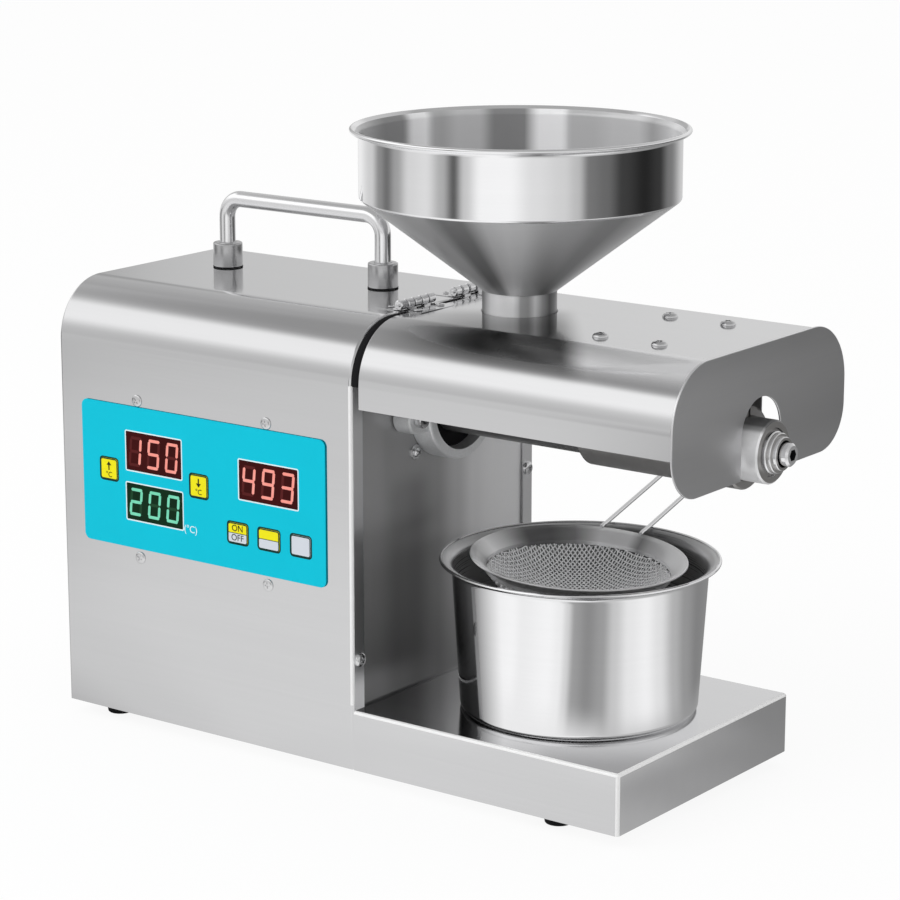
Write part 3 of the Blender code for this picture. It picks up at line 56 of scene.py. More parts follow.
# Sheets
HOUSING_LENGTH = 0.2135
DEPTH = 0.170
HEIGHT = 0.250
CORNER_RADIUS = 0.034
SHEET = 0.0012
FLANGE_WIDTH = 0.010
PLATFORM = (0.2138, 0.3878)
PLATFORM_HEIGHT = 0.034
PLATFORM_SHEET = 0.0015
HOOD = (0.2185, 0.4160)
HOOD_BOTTOM = 0.204
PLATE = (0.4163, 0.4175)
MIDDLE_Y = 0.085

# Press head
AXIS_Z = 0.194
BARREL_RADIUS = 0.017
BARREL_BORE = 0.0123
BARREL_END = 0.425
WALL_FACE = 0.2123
THROAT_X = 0.2635

# Vessels
POT = (0.305, 0.085, 0.0343)
STRAINER_FRAME = (
    Matrix.Translation((0.3015, 0.089, 0.1163))
    @ Matrix.Rotation(math.radians(3), 4, "Y")
    @ Matrix.Rotation(math.radians(9.3), 4, "Z")
)

# Level directions towards the camera and across its picture
TOWARD = Vector((0.59693, -0.80229, 0.0))
ACROSS = Vector((0.80229, 0.59693, 0.0))

# Grain of three kinds of steel: how often it changes along X, Y and Z, per metre
ROLLED = (5, 900, 900)
SPUN = (1.5, 1.5, 900)
TURNED = (1400, 8, 8)

# Controls: left, right, bottom and top
WINDOWS = {
    "display_current": (0.0510, 0.0922, 0.1470, 0.1692),
    "display_setting": (0.0507, 0.0926, 0.1180, 0.1390),
    "display_countdown": (0.1350, 0.1767, 0.1425, 0.1646),
}
KEYS = {
    "key_up": (0.0310, 0.0438, 0.1390, 0.1513),
    "key_down": (0.0988, 0.1116, 0.1385, 0.1513),
    "key_heat": (0.1263, 0.1405, 0.1164, 0.1280),
    "key_press": (0.1484, 0.1634, 0.1162, 0.1279),
    "key_clear": (0.1717, 0.1856, 0.1164, 0.1280),
}
READINGS = {"display_current": "150", "display_setting": "200", "display_countdown": "493"}
SEGMENTS = {
    "0": "abcdef", "1": "bc", "2": "abged", "3": "abgcd", "4": "fgbc",
    "5": "afgcd", "6": "afgedc", "7": "abc", "8": "abcdefg", "9": "abcdfg",
}


class Field:
    """One output of a node tree, on which sums can be written."""

    def __init__(self, tree, socket):
        self.tree = tree
        self.socket = socket

    def other(self, name):
        return Field(self.tree, self.socket.node.outputs[name])

    def sum(self, operation, first, second):
        node = self.tree.nodes.new("ShaderNodeMath")
        node.operation = operation
        for place, value in enumerate((first, second)):
            feed(self.tree, node.inputs[place], value)
        return Field(self.tree, node.outputs[0])

    def __add__(self, value):
        return self.sum("ADD", self, value)

    def __sub__(self, value):
        return self.sum("SUBTRACT", self, value)

    def __rsub__(self, value):
        return self.sum("SUBTRACT", value, self)

    def __mul__(self, value):
        return self.sum("MULTIPLY", self, value)

    def __truediv__(self, value):
        return self.sum("DIVIDE", self, value)

    __radd__ = __add__
    __rmul__ = __mul__


def feed(tree, socket, value):
    if isinstance(value, Field):
        tree.links.new(value.socket, socket)
    else:
        socket.default_value = value


class Tree:
    """A node tree and the one method that adds a node to it."""

    def __init__(self, tree):
        self.tree = tree
        tree.nodes.clear()

    def add(self, kind, settings=None, values=None, output=0):
        node = self.tree.nodes.new(kind)
        for key, value in (settings or {}).items():
            if key == "stops":
                ramp = node.color_ramp
                while len(ramp.elements) < len(value):
                    ramp.elements.new(0.5)
                for stop, (place, colour) in zip(ramp.elements, value):
                    stop.position = place
                    stop.color = colour
            else:
                setattr(node, key, value)
        for key, value in (values or {}).items():
            feed(self.tree, node.inputs[key], value)
        return Field(self.tree, node.outputs[output]) if len(node.outputs) else None

    def math(self, operation, first, second=0.0):
        return self.add("ShaderNodeMath", {"operation": operation}, {0: first, 1: second})

    def step(self, value, low, high):
        """0 below low and 1 above high, with a soft rise between them."""
        return self.add(
            "ShaderNodeMapRange",
            {"interpolation_type": "SMOOTHSTEP"},
            {"Value": value, "From Min": low, "From Max": high},
        )

    def grey(self, value, stops, interpolation="EASE"):
        """A level read off a curve of (place, level) stops."""
        colours = [(place, (level, level, level, 1)) for place, level in stops]
        ramp = self.add(
            "ShaderNodeValToRGB", {"stops": colours}, {"Fac": value}, "Color"
        )
        ramp.socket.node.color_ramp.interpolation = interpolation
        return self.add("ShaderNodeRGBToBW", None, {"Color": ramp})

    def blend(self, factor, first, second):
        return first + (second - first) * factor

    def mix(self, factor, first, second):
        """Mixes two colours."""
        return self.add("ShaderNodeMix", {"data_type": "RGBA"}, {0: factor, 6: first, 7: second}, 2)

    def noise(self, place, scale, detail=2.0, roughness=0.5):
        """Noise over a place that is first stretched by scale, in cycles per metre."""
        stretched = self.add(
            "ShaderNodeMapping", {"vector_type": "POINT"}, {"Vector": place, "Scale": scale}
        )
        return self.add(
            "ShaderNodeTexNoise",
            None,
            {"Vector": stretched, "Scale": 1.0, "Detail": detail, "Roughness": roughness},
        )

    def place(self):
        return self.add("ShaderNodeTexCoord", None, None, "Object")

    def parts(self, place):
        """The X of a place, whose other() outputs are Y and Z."""
        return self.add("ShaderNodeSeparateXYZ", None, {"Vector": place}, "X")

    def colour(self, red, green, blue):
        return self.add("ShaderNodeCombineColor", None, {"Red": red, "Green": green, "Blue": blue})

    def aside(self, place, centre):
        """How far a place lies across and towards the camera from an upright axis of the press."""
        parts = self.parts(place)
        x = parts - (CORNER.x + centre[0])
        y = parts.other("Y") - (CORNER.y + centre[1])
        return x * ACROSS.x + y * ACROSS.y, x * TOWARD.x + y * TOWARD.y


class Finish(Tree):
    """A material made of nodes."""

    def __init__(self, name):
        self.material = bpy.data.materials.new(name)
        self.material.use_nodes = True
        super().__init__(self.material.node_tree)

    def surface(self, values):
        shader = self.add("ShaderNodeBsdfPrincipled", None, values)
        self.add("ShaderNodeOutputMaterial", None, {"Surface": shader})
        return self.material

    def bump(self, height, depth, strength=1.0):
        return self.add(
            "ShaderNodeBump", None, {"Height": height, "Distance": depth, "Strength": strength}
        )


FINISHES = {}


def finish(name):
    """The material of that name, made when it is first asked for."""
    if name not in FINISHES:
        maker, *values = looks()[name]
        FINISHES[name] = maker(name, *values)
    return FINISHES[name]


def metal(name, tone, roughness, grain, depth=0.000004, spread=0.03, shade=None, metallic=1.0,
          tint=(1.0, 1.0, 1.01)):
    """Steel with a drawn grain, whose painted shade and metallic may be functions of the place."""
    made = Finish(name)
    place = made.place()
    fine = made.noise(place, grain, 3.0, 0.65)
    broad = made.noise(place, tuple(g * 0.12 for g in grain))
    cloud = made.noise(place, (14, 14, 14))
    level = tone + (fine - 0.5) * spread + (broad - 0.5) * spread * 0.8
    if shade:
        level = level * shade(made, place)
    if callable(metallic):
        metallic = metallic(made, place)
    return made.surface({
        "Base Color": made.colour(*(level * part for part in tint)),
        "Metallic": metallic,
        "Roughness": roughness + (fine - 0.5) * 0.04 + (cloud - 0.5) * 0.03,
        "Normal": made.bump(fine + broad, depth, 0.6),
    })


def worn_edge(name):
    """Painted highlight along a fold's edge, pale and soft enough to shine from any side."""
    made = Finish(name)
    fine = made.noise(made.place(), (300, 300, 300))
    level = 0.93 + (fine - 0.5) * 0.05
    return made.surface({
        "Base Color": made.colour(level, level, level),
        "Metallic": 0.15,
        "Roughness": 0.35 + fine * 0.05,
    })


def cast_metal(name):
    made = Finish(name)
    place = made.place()
    grain = made.noise(place, (900, 900, 900), 3.0, 0.6)
    patch = made.noise(place, (60, 60, 60), 3.0)
    level = 0.80 + (grain - 0.5) * 0.2 + (patch - 0.5) * 0.12
    return made.surface({
        "Base Color": made.colour(level, level * 1.01, level * 1.02),
        "Metallic": 0.55,
        "Roughness": 0.42 + (patch - 0.5) * 0.2,
        "Normal": made.bump(grain, 0.00015, 0.5),
    })


def opaque(colour, times=1):
    """A colour with its alpha, lightened or darkened."""
    return tuple(min(1.0, part * times) for part in colour) + (1,)


def plain(name, colour, roughness, grain, depth, spread, shine=0.5):
    """A dull or glossy moulded or printed skin with its own fine grain."""
    made = Finish(name)
    place = made.place()
    fine = made.noise(place, (grain, grain, grain), 3.0)
    cloud = made.noise(place, (30, 30, 30))
    return made.surface({
        "Base Color": made.mix(cloud, opaque(colour, 1 - spread), opaque(colour, 1 + spread)),
        "Roughness": roughness + (fine - 0.5) * 0.1,
        "Specular IOR Level": shine,
        "Normal": made.bump(fine, depth, 0.4),
    })


def window(name, colour, glow):
    """Tinted window over a digit module, with the module's faint cells behind it and a faint painted
    glow.
    """
    made = Finish(name)
    place = made.place()
    cells = made.noise(place, (900, 900, 900))
    cloud = made.noise(place, (90, 20, 90))
    return made.surface({
        "Base Color": made.mix(cloud, opaque(colour, 0.55), opaque(colour, 1.3)),
        "Roughness": 0.3 + cells * 0.06,
        "Specular IOR Level": 0.08,
        "Emission Color": made.mix(cloud, opaque(glow, 0.5), opaque(glow)),
        "Emission Strength": 1.0,
    })


def lit(name, colour, edge):
    """A digit's bar, which gives its own light; the unlit bars take it too, with a faint painted glow."""
    made = Finish(name)
    cloud = made.noise(made.place(), (260, 20, 260), 1.0)
    return made.surface({
        "Base Color": (0.01, 0.01, 0.01, 1),
        "Roughness": 0.5,
        "Specular IOR Level": 0.05,
        "Emission Color": made.mix(cloud, opaque(edge), opaque(colour)),
        "Emission Strength": 1.0,
    })


def by_degrees(stops):
    return [((degrees + 180) / 360, level) for degrees, level in stops]


def painted_reflection_bands(centre, stops):
    """Painted reflections: long soft bands of lightness round a spun face's upright axis, given as
    degrees and lightness.
    """
    def shade(made, place):
        turn = made.math("ARCTAN2", *made.aside(place, centre)) / (2 * math.pi) + 0.5
        return made.grey(turn, by_degrees(stops), "LINEAR")

    return shade


def hood_shade(made, place):
    """The hood's sheet is dark on top where it mirrors the hopper's foot."""
    side, ahead = made.aside(place, (THROAT_X, MIDDLE_Y))
    wide = made.step(side, -0.09, -0.02) * (1 - made.step(side, 0.018, 0.034))
    deep = made.blend(made.step(ahead, 0.0, 0.05), 0.50, 0.93)
    high = made.step(made.parts(place).other("Z") - CORNER.z, 0.233, 0.245)
    return 1 - wide * deep * high * made.step(ahead, -0.012, 0.015)


def hood_metallic(made, place):
    """The hood's front fold shines less like a mirror to the right of the hopper."""
    parts = made.parts(place)
    y = parts.other("Y") - CORNER.y
    along = made.step(parts - CORNER.x, THROAT_X + 0.02, THROAT_X + 0.045)
    across = made.step(y, 0.008, 0.017) * (1 - made.step(y, 0.032, 0.038))
    return 1 - along * across * 0.65


def wall_shade(made, place):
    """Painted shade and light on the inner wall: it darkens towards the front, near the floor and below
    the press head.
    """
    parts = made.parts(place)
    low = made.grey((parts.other("Y") - CORNER.y) / DEPTH, [
        (0.0, 0.72), (0.14, 0.68), (0.26, 0.48), (0.35, 0.42), (0.46, 0.60), (0.57, 0.95),
        (0.67, 1.35), (0.78, 1.5), (1.0, 1.5),
    ])
    high = made.math("MAXIMUM", low, 0.60)
    z = parts.other("Z") - CORNER.z
    low = low * made.blend(made.step(z, 0.03, 0.10), 0.45, 1.0)
    return made.blend(made.step(z, 0.146, 0.164), low, high)


def platform_shade(made, place):
    """Painted reflection on the platform's upper face: paler behind the pot and to its left, darker in
    front of it where the pot is mirrored.
    """
    side, ahead = made.aside(place, POT)
    left = made.step(0 - side, 0.075, 0.11) * made.step(ahead, -0.02, 0.03)
    return made.blend(made.step(ahead, 0.055, 0.11), 1.2, 0.62) + left * 0.25


def plate_shade(made, place):
    """Painted highlight: the hood's end plate is a little lighter towards its top."""
    return 1 + made.step(made.parts(place).other("Z") - CORNER.z, 0.195, 0.238) * 0.45


def barrel_shade(made, place):
    """Painted reflection bands along the barrel, dark above and bright towards the front, and painted
    shade that darkens it under the hood, so it is bright only towards the free end.
    """
    parts = made.parts(place)
    y = parts.other("Y") - (CORNER.y + MIDDLE_Y)
    z = parts.other("Z") - (CORNER.z + AXIS_Z)
    turn = made.math("ARCTAN2", z, 0 - y) / (2 * math.pi) + 0.5
    ahead = made.step(parts - CORNER.x, 0.33, 0.39)
    return made.blend(ahead, 0.15, 1.0) * made.grey(turn, by_degrees([
        (-180, 0.7), (-90, 0.8), (-45, 0.9), (0, 0.85), (20, 1.0), (30, 1.05), (42, 1.05),
        (54, 0.40), (64, 0.14), (90, 0.10), (130, 0.25), (180, 0.7),
    ]))


def looks():
    """Every finish's maker and the values that it takes after the name."""
    sheet, polished = press().sheet_tone, press().polished_tone
    hopper, strainer = (THROAT_X, MIDDLE_Y), (0.3015, 0.089)
    usual = (0.000004, 0.03)
    # Painted reflections and shade for each spun face, as bearing in degrees and lightness.
    cone = painted_reflection_bands(hopper, [
        (-180, 0.9), (-80, 0.9), (-59, 0.55), (-47, 0.42), (-38, 0.46), (-30, 0.23), (-22, 0.29),
        (-14, 0.92), (-7, 1.1), (0, 1.08), (7, 0.84), (14, 0.66), (22, 0.52), (30, 0.32),
        (38, 0.27), (47, 0.46), (59, 0.8), (80, 0.9), (180, 0.9),
    ])
    neck = painted_reflection_bands(hopper, [
        (-180, 0.7), (-78, 0.14), (-51, 0.95), (-36, 1.1), (-22, 1.1), (-11, 1.1), (-4, 0.85),
        (0, 0.52), (12, 0.46), (23, 0.9), (36, 0.38), (51, 0.10), (78, 0.32), (180, 0.7),
    ])
    bowl = painted_reflection_bands(hopper, [
        (-180, 0.27), (-171, 0.27), (-166.5, 0.58), (-157, 0.60), (-151, 0.46), (-147, 0.50),
        (-143.5, 1.0), (-137, 0.95), (-133, 0.28), (-122, 0.26), (-108, 0.45), (-90, 0.6),
        (0, 0.7), (90, 0.75), (103, 0.85), (112, 0.62), (121.5, 0.44), (129, 0.66), (142, 0.66),
        (150, 0.57), (160, 0.57), (162.5, 1.04), (172, 1.04), (175, 0.60), (177, 0.28), (180, 0.27),
    ])
    band = painted_reflection_bands(strainer, [
        (-180, 0.32), (-165, 0.16), (-150, 0.16), (-132, 0.60), (-116, 0.90), (-98, 0.40),
        (-85, 0.45), (-68, 1.0), (-50, 0.5), (0, 0.70), (50, 0.9), (90, 1.0), (115, 0.85),
        (130, 0.7), (138, 0.38), (146, 1.0), (165, 1.0), (173, 0.6), (180, 0.32),
    ])
    pot_outside = painted_reflection_bands(POT, [
        (-180, 0.6), (-100, 0.4), (-78, 0.12), (-64, 0.26), (-55, 0.34), (-47, 0.70), (-40, 1.0),
        (100, 1.0), (180, 0.6),
    ])
    pot_inside = painted_reflection_bands(POT, [
        (-180, 0.55), (-150, 0.6), (-135, 0.5), (-120, 0.6), (-100, 0.8), (-60, 0.7),
        (0, 0.65), (60, 0.7), (100, 0.75), (125, 0.42), (140, 0.36), (156, 0.42), (170, 0.65),
        (180, 0.55),
    ])
    return {
        "brushed_sheet": (metal, sheet, 0.11, ROLLED),
        "hood_brushed": (metal, sheet + 0.02, 0.11, ROLLED, *usual, hood_shade, hood_metallic),
        # A lighter copy of the brushed sheet: painted light on the flanges that face +X.
        "flange_brushed": (metal, 0.92, 0.3, (5, 900, 20)),
        "wall_brushed": (metal, 0.66, 0.3, (5, 900, 8), *usual, wall_shade, 0.6),
        "platform_top": (metal, sheet, 0.11, ROLLED, *usual, platform_shade),
        "dark_sheet": (metal, 0.62, 0.3, (5, 20, 900), *usual, plate_shade),
        "spun_steel": (metal, polished, 0.07, SPUN, 0.000002),
        "spun_cone": (metal, polished, 0.3, SPUN, 0.000003, 0.04, cone, 0.4),
        "spun_neck": (metal, polished, 0.3, SPUN, 0.000003, 0.04, neck, 0.25),
        "spun_pot": (metal, polished, 0.07, SPUN, 0.000002, 0.03, pot_outside),
        "spun_band": (metal, 1.0, 0.26, SPUN, 0.000003, 0.04, band, 0.25),
        "spun_inside": (metal, 0.95, 0.3, SPUN, 0.000003, 0.04, bowl, 0.2),
        "pot_inside": (metal, 0.78, 0.28, SPUN, 0.000003, 0.05, pot_inside, 0.6),
        "polished_rod": (metal, 0.88, 0.18, (120, 120, 120), 0.000002, 0.02),
        "ferrule_steel": (metal, 0.52, 0.24, (20, 20, 900), 0.000002, 0.05),
        "knuckle_steel": (metal, 0.82, 0.2, (20, 300, 20), 0.000004, 0.15),
        "turned_steel": (metal, 0.74, 0.2, TURNED, 0.000004, 0.05),
        "barrel_satin": (metal, 0.95, 0.34, TURNED, 0.000004, 0.06, barrel_shade, 0.3),
        "bright_fixings": (metal, 0.70, 0.18, (600, 600, 600), 0.000002, 0.05),
        "dark_steel": (metal, 0.20, 0.42, (500, 20, 20), 0.00001, 0.05, None, 1.0, (1.02, 1.0, 0.99)),
        "heater_steel": (metal, 0.44, 0.38, (500, 20, 20), 0.00001, 0.05, None, 1.0, (1.02, 1.0, 0.98)),
        "inner_steel": (metal, 0.42, 0.4, (40, 500, 500), 0.00001, 0.05),
        "woven_wire": (metal, 0.98, 0.3, (500, 500, 500), 0.000002, 0.03, None, 0.2),
        "worn_edge": (worn_edge,),
        "cast_metal": (cast_metal,),
        "rubber": (plain, (0.010, 0.010, 0.011), 0.8, 700, 0.00002, 0.15, 0.1),
        "black_plastic": (plain, (0.022, 0.022, 0.024), 0.45, 900, 0.00003, 0.12),
        "motor_paint": (plain, (0.03, 0.031, 0.034), 0.38, 500, 0.00003, 0.1),
        "board_green": (plain, (0.02, 0.13, 0.05), 0.4, 300, 0.00002, 0.2),
        "panel_sheet": (plain, press().panel_colour, 0.5, 1200, 0.000003, 0.03, 0.12),
        "panel_white": (plain, (0.80, 0.92, 0.95), 0.5, 900, 0.000003, 0.02, 0.1),
        "key_yellow": (plain, press().key_colour, 0.5, 900, 0.000003, 0.03, 0.12),
        "key_pale": (plain, (0.66, 0.70, 0.76), 0.5, 900, 0.000003, 0.02, 0.15),
        "key_border": (plain, (0.008, 0.045, 0.035), 0.6, 900, 0.000003, 0.05, 0.1),
        "key_ink": (plain, (0.015, 0.02, 0.01), 0.6, 900, 0.000003, 0.05, 0.1),
        "window_red": (window, (0.020, 0.001, 0.001), (0.034, 0.001, 0.001)),
        "window_green": (window, (0.001, 0.009, 0.003), (0.001, 0.019, 0.006)),
        "lit_red": (lit, (1.0, 0.42, 0.36), (0.92, 0.25, 0.20)),
        "lit_green": (lit, (0.25, 0.80, 0.56), (0.13, 0.60, 0.38)),
        # Unlit bars: a faint painted glow, as they give no light.
        "unlit_red": (lit, (0.10, 0.006, 0.006), (0.07, 0.004, 0.004)),
        "unlit_green": (lit, (0.006, 0.06, 0.02), (0.004, 0.04, 0.012)),
    }


def press():
    return bpy.context.scene.oil_press_sizes


def turn_arc(centre, radius, start, end, steps):
    """Points on an arc, its angles in degrees."""
    points = []
    for k in range(steps + 1):
        angle = math.radians(start + (end - start) * k / steps)
        points.append(
            (centre[0] + radius * math.cos(angle), centre[1] + radius * math.sin(angle))
        )
    return points


def rounded(left, right, bottom, top, radius, steps=6):
    """A rectangle's outline with round corners."""
    return (
        turn_arc((right - radius, top - radius), radius, 0, 90, steps)
        + turn_arc((left + radius, top - radius), radius, 90, 180, steps)
        + turn_arc((left + radius, bottom + radius), radius, 180, 270, steps)
        + turn_arc((right - radius, bottom + radius), radius, 270, 360, steps)
    )


def housing_path(levels, steps=32):
    """Stations up the front, over the top and down the back: place and inward direction."""
    spring = HEIGHT - CORNER_RADIUS
    stations = [(0.0, level, 1.0, 0.0) for level in levels]
    for centre, start in ((CORNER_RADIUS, 180), (DEPTH - CORNER_RADIUS, 90)):
        for k in range(steps + 1):
            angle = math.radians(start - 90 * k / steps)
            across, up = math.cos(angle), math.sin(angle)
            stations.append(
                (centre + CORNER_RADIUS * across, spring + CORNER_RADIUS * up, -across, -up)
            )
    stations += [(DEPTH, level, -1.0, 0.0) for level in reversed(levels)]
    return stations


def ring_faces(bm, first, second):
    count = len(first)
    for k in range(count):
        j = (k + 1) % count
        bm.faces.new((first[k], first[j], second[j], second[k]))


def sweep(bm, section, stations):
    """Carries a closed section of (x, depth) points along stations of the housing's outline."""
    previous = None
    for y, z, across, up in stations:
        ring = [bm.verts.new((x, y + across * depth, z + up * depth)) for x, depth in section]
        if previous:
            ring_faces(bm, previous, ring)
        else:
            bm.faces.new(ring)
        previous = ring
    bm.faces.new(list(reversed(previous)))


def lathe(bm, profile, centre, axis="Z", steps=96):
    """A turned form: (radius, height) points, closed into a ring unless it starts on the axis."""
    def at(radius, height, k):
        angle = 2 * math.pi * k / steps
        a, b = radius * math.cos(angle), radius * math.sin(angle)
        if axis == "Z":
            return (centre[0] + a, centre[1] + b, centre[2] + height)
        return (centre[0] + height, centre[1] + a, centre[2] + b)

    rings = []
    for radius, height in profile:
        if radius < 1e-9:
            rings.append([bm.verts.new(at(0, height, 0))])
        else:
            rings.append([bm.verts.new(at(radius, height, k)) for k in range(steps)])
    pairs = list(zip(rings, rings[1:]))
    if profile[0][0] > 1e-9 or profile[-1][0] > 1e-9:
        pairs.append((rings[-1], rings[0]))
    for first, second in pairs:
        if len(first) == 1 and len(second) == 1:
            continue
        for k in range(steps):
            j = (k + 1) % steps
            if len(first) == 1:
                bm.faces.new((first[0], second[j], second[k]))
            elif len(second) == 1:
                bm.faces.new((first[k], first[j], second[0]))
            else:
                bm.faces.new((first[k], first[j], second[j], second[k]))


def turned_to(facing, level, u, v):
    """A point of a flat outline, at a level along the axis that the outline faces."""
    return {"X": (level, u, v), "Y": (u, level, v), "Z": (u, v, level)}[facing]


def slab(bm, outline, low, high, facing, edge=0.0, place=None):
    """A flat piece from one closed outline, lying between low and high, with eased edges."""
    plan = [Vector(point) for point in outline]
    ahead = plan[1:] + plan[:1]

    def shrunk(by):
        points = []
        for before, here, after in zip(plan[-1:] + plan[:-1], plan, ahead):
            first, second = (here - before).normalized(), (after - here).normalized()
            normal = Vector((-(first.y + second.y), first.x + second.x))
            reach = max(0.35, normal.length_squared / 2 / max(normal.length, 1e-9))
            points.append(here + normal.normalized() * by / reach)
        return points

    area = sum(a[0] * b[1] - b[0] * a[1] for a, b in zip(outline, outline[1:] + outline[:1]))
    inward = edge if area > 0 else -edge
    levels = [(low, inward), (low + edge, 0), (high - edge, 0), (high, inward)]
    if edge <= 0:
        levels = [(low, 0), (high, 0)]
    rings = []
    for level, by in levels:
        spots = [turned_to(facing, level, u, v) for u, v in (shrunk(by) if by else plan)]
        rings.append([bm.verts.new(place @ Vector(spot) if place else spot) for spot in spots])
    for first, second in zip(rings, rings[1:]):
        ring_faces(bm, first, second)
    bm.faces.new(rings[0])
    bm.faces.new(list(reversed(rings[-1])))


def frame_ring(bm, outer, inner, low, high):
    """A flat ring that faces Y, between two outlines of the same number of points."""
    rows = [
        [bm.verts.new((u, level, v)) for u, v in outline]
        for outline, level in ((outer, low), (outer, high), (inner, high), (inner, low))
    ]
    for first, second in zip(rows, rows[1:] + rows[:1]):
        ring_faces(bm, first, second)


def tube(bm, points, radius, sides=16, closed=False):
    """A bent rod of one thickness along a line of points, with domed ends where it is open."""
    points = [Vector(p) for p in points]
    count = len(points)
    ways = []
    for k in range(count):
        before = points[k - 1] if k or closed else points[0]
        after = points[(k + 1) % count] if k < count - 1 or closed else points[-1]
        ways.append((after - before).normalized())
    side = ways[0].orthogonal().normalized()
    rings = []
    for point, way in zip(points, ways):
        side = (side - way * side.dot(way)).normalized()
        other = way.cross(side)
        ring = []
        for j in range(sides):
            angle = 2 * math.pi * j / sides
            ring.append(
                bm.verts.new(point + (side * math.cos(angle) + other * math.sin(angle)) * radius)
            )
        rings.append(ring)
    for first, second in zip(rings, rings[1:]):
        ring_faces(bm, first, second)
    if closed:
        ring_faces(bm, rings[-1], rings[0])
        return
    for ring, point, way in ((rings[0], points[0], -ways[0]), (rings[-1], points[-1], ways[-1])):
        tip = bm.verts.new(point + way * radius * 0.35)
        for k in range(sides):
            bm.faces.new((ring[k], ring[(k + 1) % sides], tip))


def box(bm, low, high):
    low, high = Vector(low), Vector(high)
    size = Matrix.Diagonal((*(high - low), 1))
    bmesh.ops.create_cube(bm, size=1, matrix=Matrix.Translation((low + high) / 2) @ size)


def form(shape, *values, **named):
    """New geometry that holds one shape."""
    bm = bmesh.new()
    shape(bm, *values, **named)
    return bm


def link(name, data):
    """A new object in the scene."""
    item = bpy.data.objects.new(name, data)
    bpy.context.scene.collection.objects.link(item)
    return item


def mesh_from(bm, name, place=TO_FRAME):
    """Turns closed geometry into a mesh, moved by a matrix."""
    bmesh.ops.recalc_face_normals(bm, faces=bm.faces)
    bmesh.ops.transform(bm, matrix=place, verts=bm.verts)
    mesh = bpy.data.meshes.new(name)
    bm.to_mesh(mesh)
    bm.free()
    return mesh


def smooth(mesh, sharp):
    """Shades a mesh smooth but for the edges that turn by more than so many degrees."""
    mesh.shade_smooth()
    mesh.set_sharp_from_angle(angle=math.radians(sharp))


def baked(item):
    """The mesh that an object has once its modifiers have run."""
    bpy.context.view_layer.update()
    graph = bpy.context.evaluated_depsgraph_get()
    return bpy.data.meshes.new_from_object(item.evaluated_get(graph))


def settle(item):
    """Writes an object's modifiers into its mesh."""
    mesh = baked(item)
    item.modifiers.clear()
    item.data = mesh
    return item


def weigh(item):
    """Weights the normals by the size of the faces, so that large faces look flat."""
    even = item.modifiers.new("even", "WEIGHTED_NORMAL")
    even.keep_sharp = True
    even.weight = 80
    return settle(item)


def piece(name, bm, look, body=None, stands_for=(), sharp=35, weighted=False):
    """Turns finished geometry in the press's own frame into a piece that rides on a body."""
    bmesh.ops.remove_doubles(bm, verts=bm.verts, dist=0.000002)
    mesh = mesh_from(bm, name)
    smooth(mesh, sharp)
    mesh.materials.append(finish(look))
    item = link(name, mesh)
    if weighted:
        weigh(item)
    if body:
        dress(item, body, stands_for)
    return item


def dress(item, body, stands_for=()):
    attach(item, body)
    if stands_for:
        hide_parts(*stands_for)


def paint(item, look, chosen):
    """Gives another finish to the faces that are chosen by place and normal."""
    mesh = item.data
    mesh.materials.append(finish(look))
    number = len(mesh.materials) - 1
    for face in mesh.polygons:
        if chosen(face.center - CORNER, face.normal):
            face.material_index = number


def carve(item, bm, operation="DIFFERENCE", place=TO_FRAME, sharp=35, crossing=False):
    """Cuts or joins geometry given in the press's own frame."""
    tool = link("tool", mesh_from(bm, "tool", place))
    change = item.modifiers.new("change", "BOOLEAN")
    change.operation = operation
    change.solver = "EXACT"
    change.use_self = crossing
    change.object = tool
    settle(item)
    bpy.data.objects.remove(tool, do_unlink=True)
    smooth(item.data, sharp)


def dress_node(name, look):
    """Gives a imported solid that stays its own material."""
    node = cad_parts[name]
    node.data.materials.clear()
    node.data.materials.append(finish(look))


class OilPressSizes(bpy.types.PropertyGroup):
    fold_radius: bpy.props.FloatProperty(
        name="Fold radius", description="Outside radius of a folded sheet's edge",
        default=0.0018, min=0.0013, max=0.004, unit="LENGTH",
    )
    turning_steps: bpy.props.IntProperty(
        name="Turning steps", description="Faces round a turned piece", default=128, min=24, max=256,
    )
    weave_spacing: bpy.props.FloatProperty(
        name="Weave spacing", description="Distance between the strainer's wires",
        default=0.0018, min=0.0015, max=0.005, unit="LENGTH",
    )
    weave_wire: bpy.props.FloatProperty(
        name="Weave wire", description="Radius of the strainer's wires",
        default=0.00044, min=0.0002, max=0.001, unit="LENGTH",
    )
    screw_head: bpy.props.FloatProperty(
        name="Screw head", description="Radius of a pan head screw",
        default=0.0031, min=0.0015, max=0.005, unit="LENGTH",
    )
    sheet_tone: bpy.props.FloatProperty(
        name="Sheet tone", description="Lightness of the brushed sheet", default=0.66, min=0.2, max=1.0,
    )
    polished_tone: bpy.props.FloatProperty(
        name="Polished tone", description="Lightness of the spun steel", default=0.90, min=0.2, max=1.0,
    )
    panel_colour: bpy.props.FloatVectorProperty(
        name="Panel", description="Ground of the control panel", default=(0.0, 0.552, 0.716),
        min=0.0, max=1.0, subtype="COLOR",
    )
    key_colour: bpy.props.FloatVectorProperty(
        name="Keys", description="Colour of the push keys", default=(0.90, 0.82, 0.01),
        min=0.0, max=1.0, subtype="COLOR",
    )


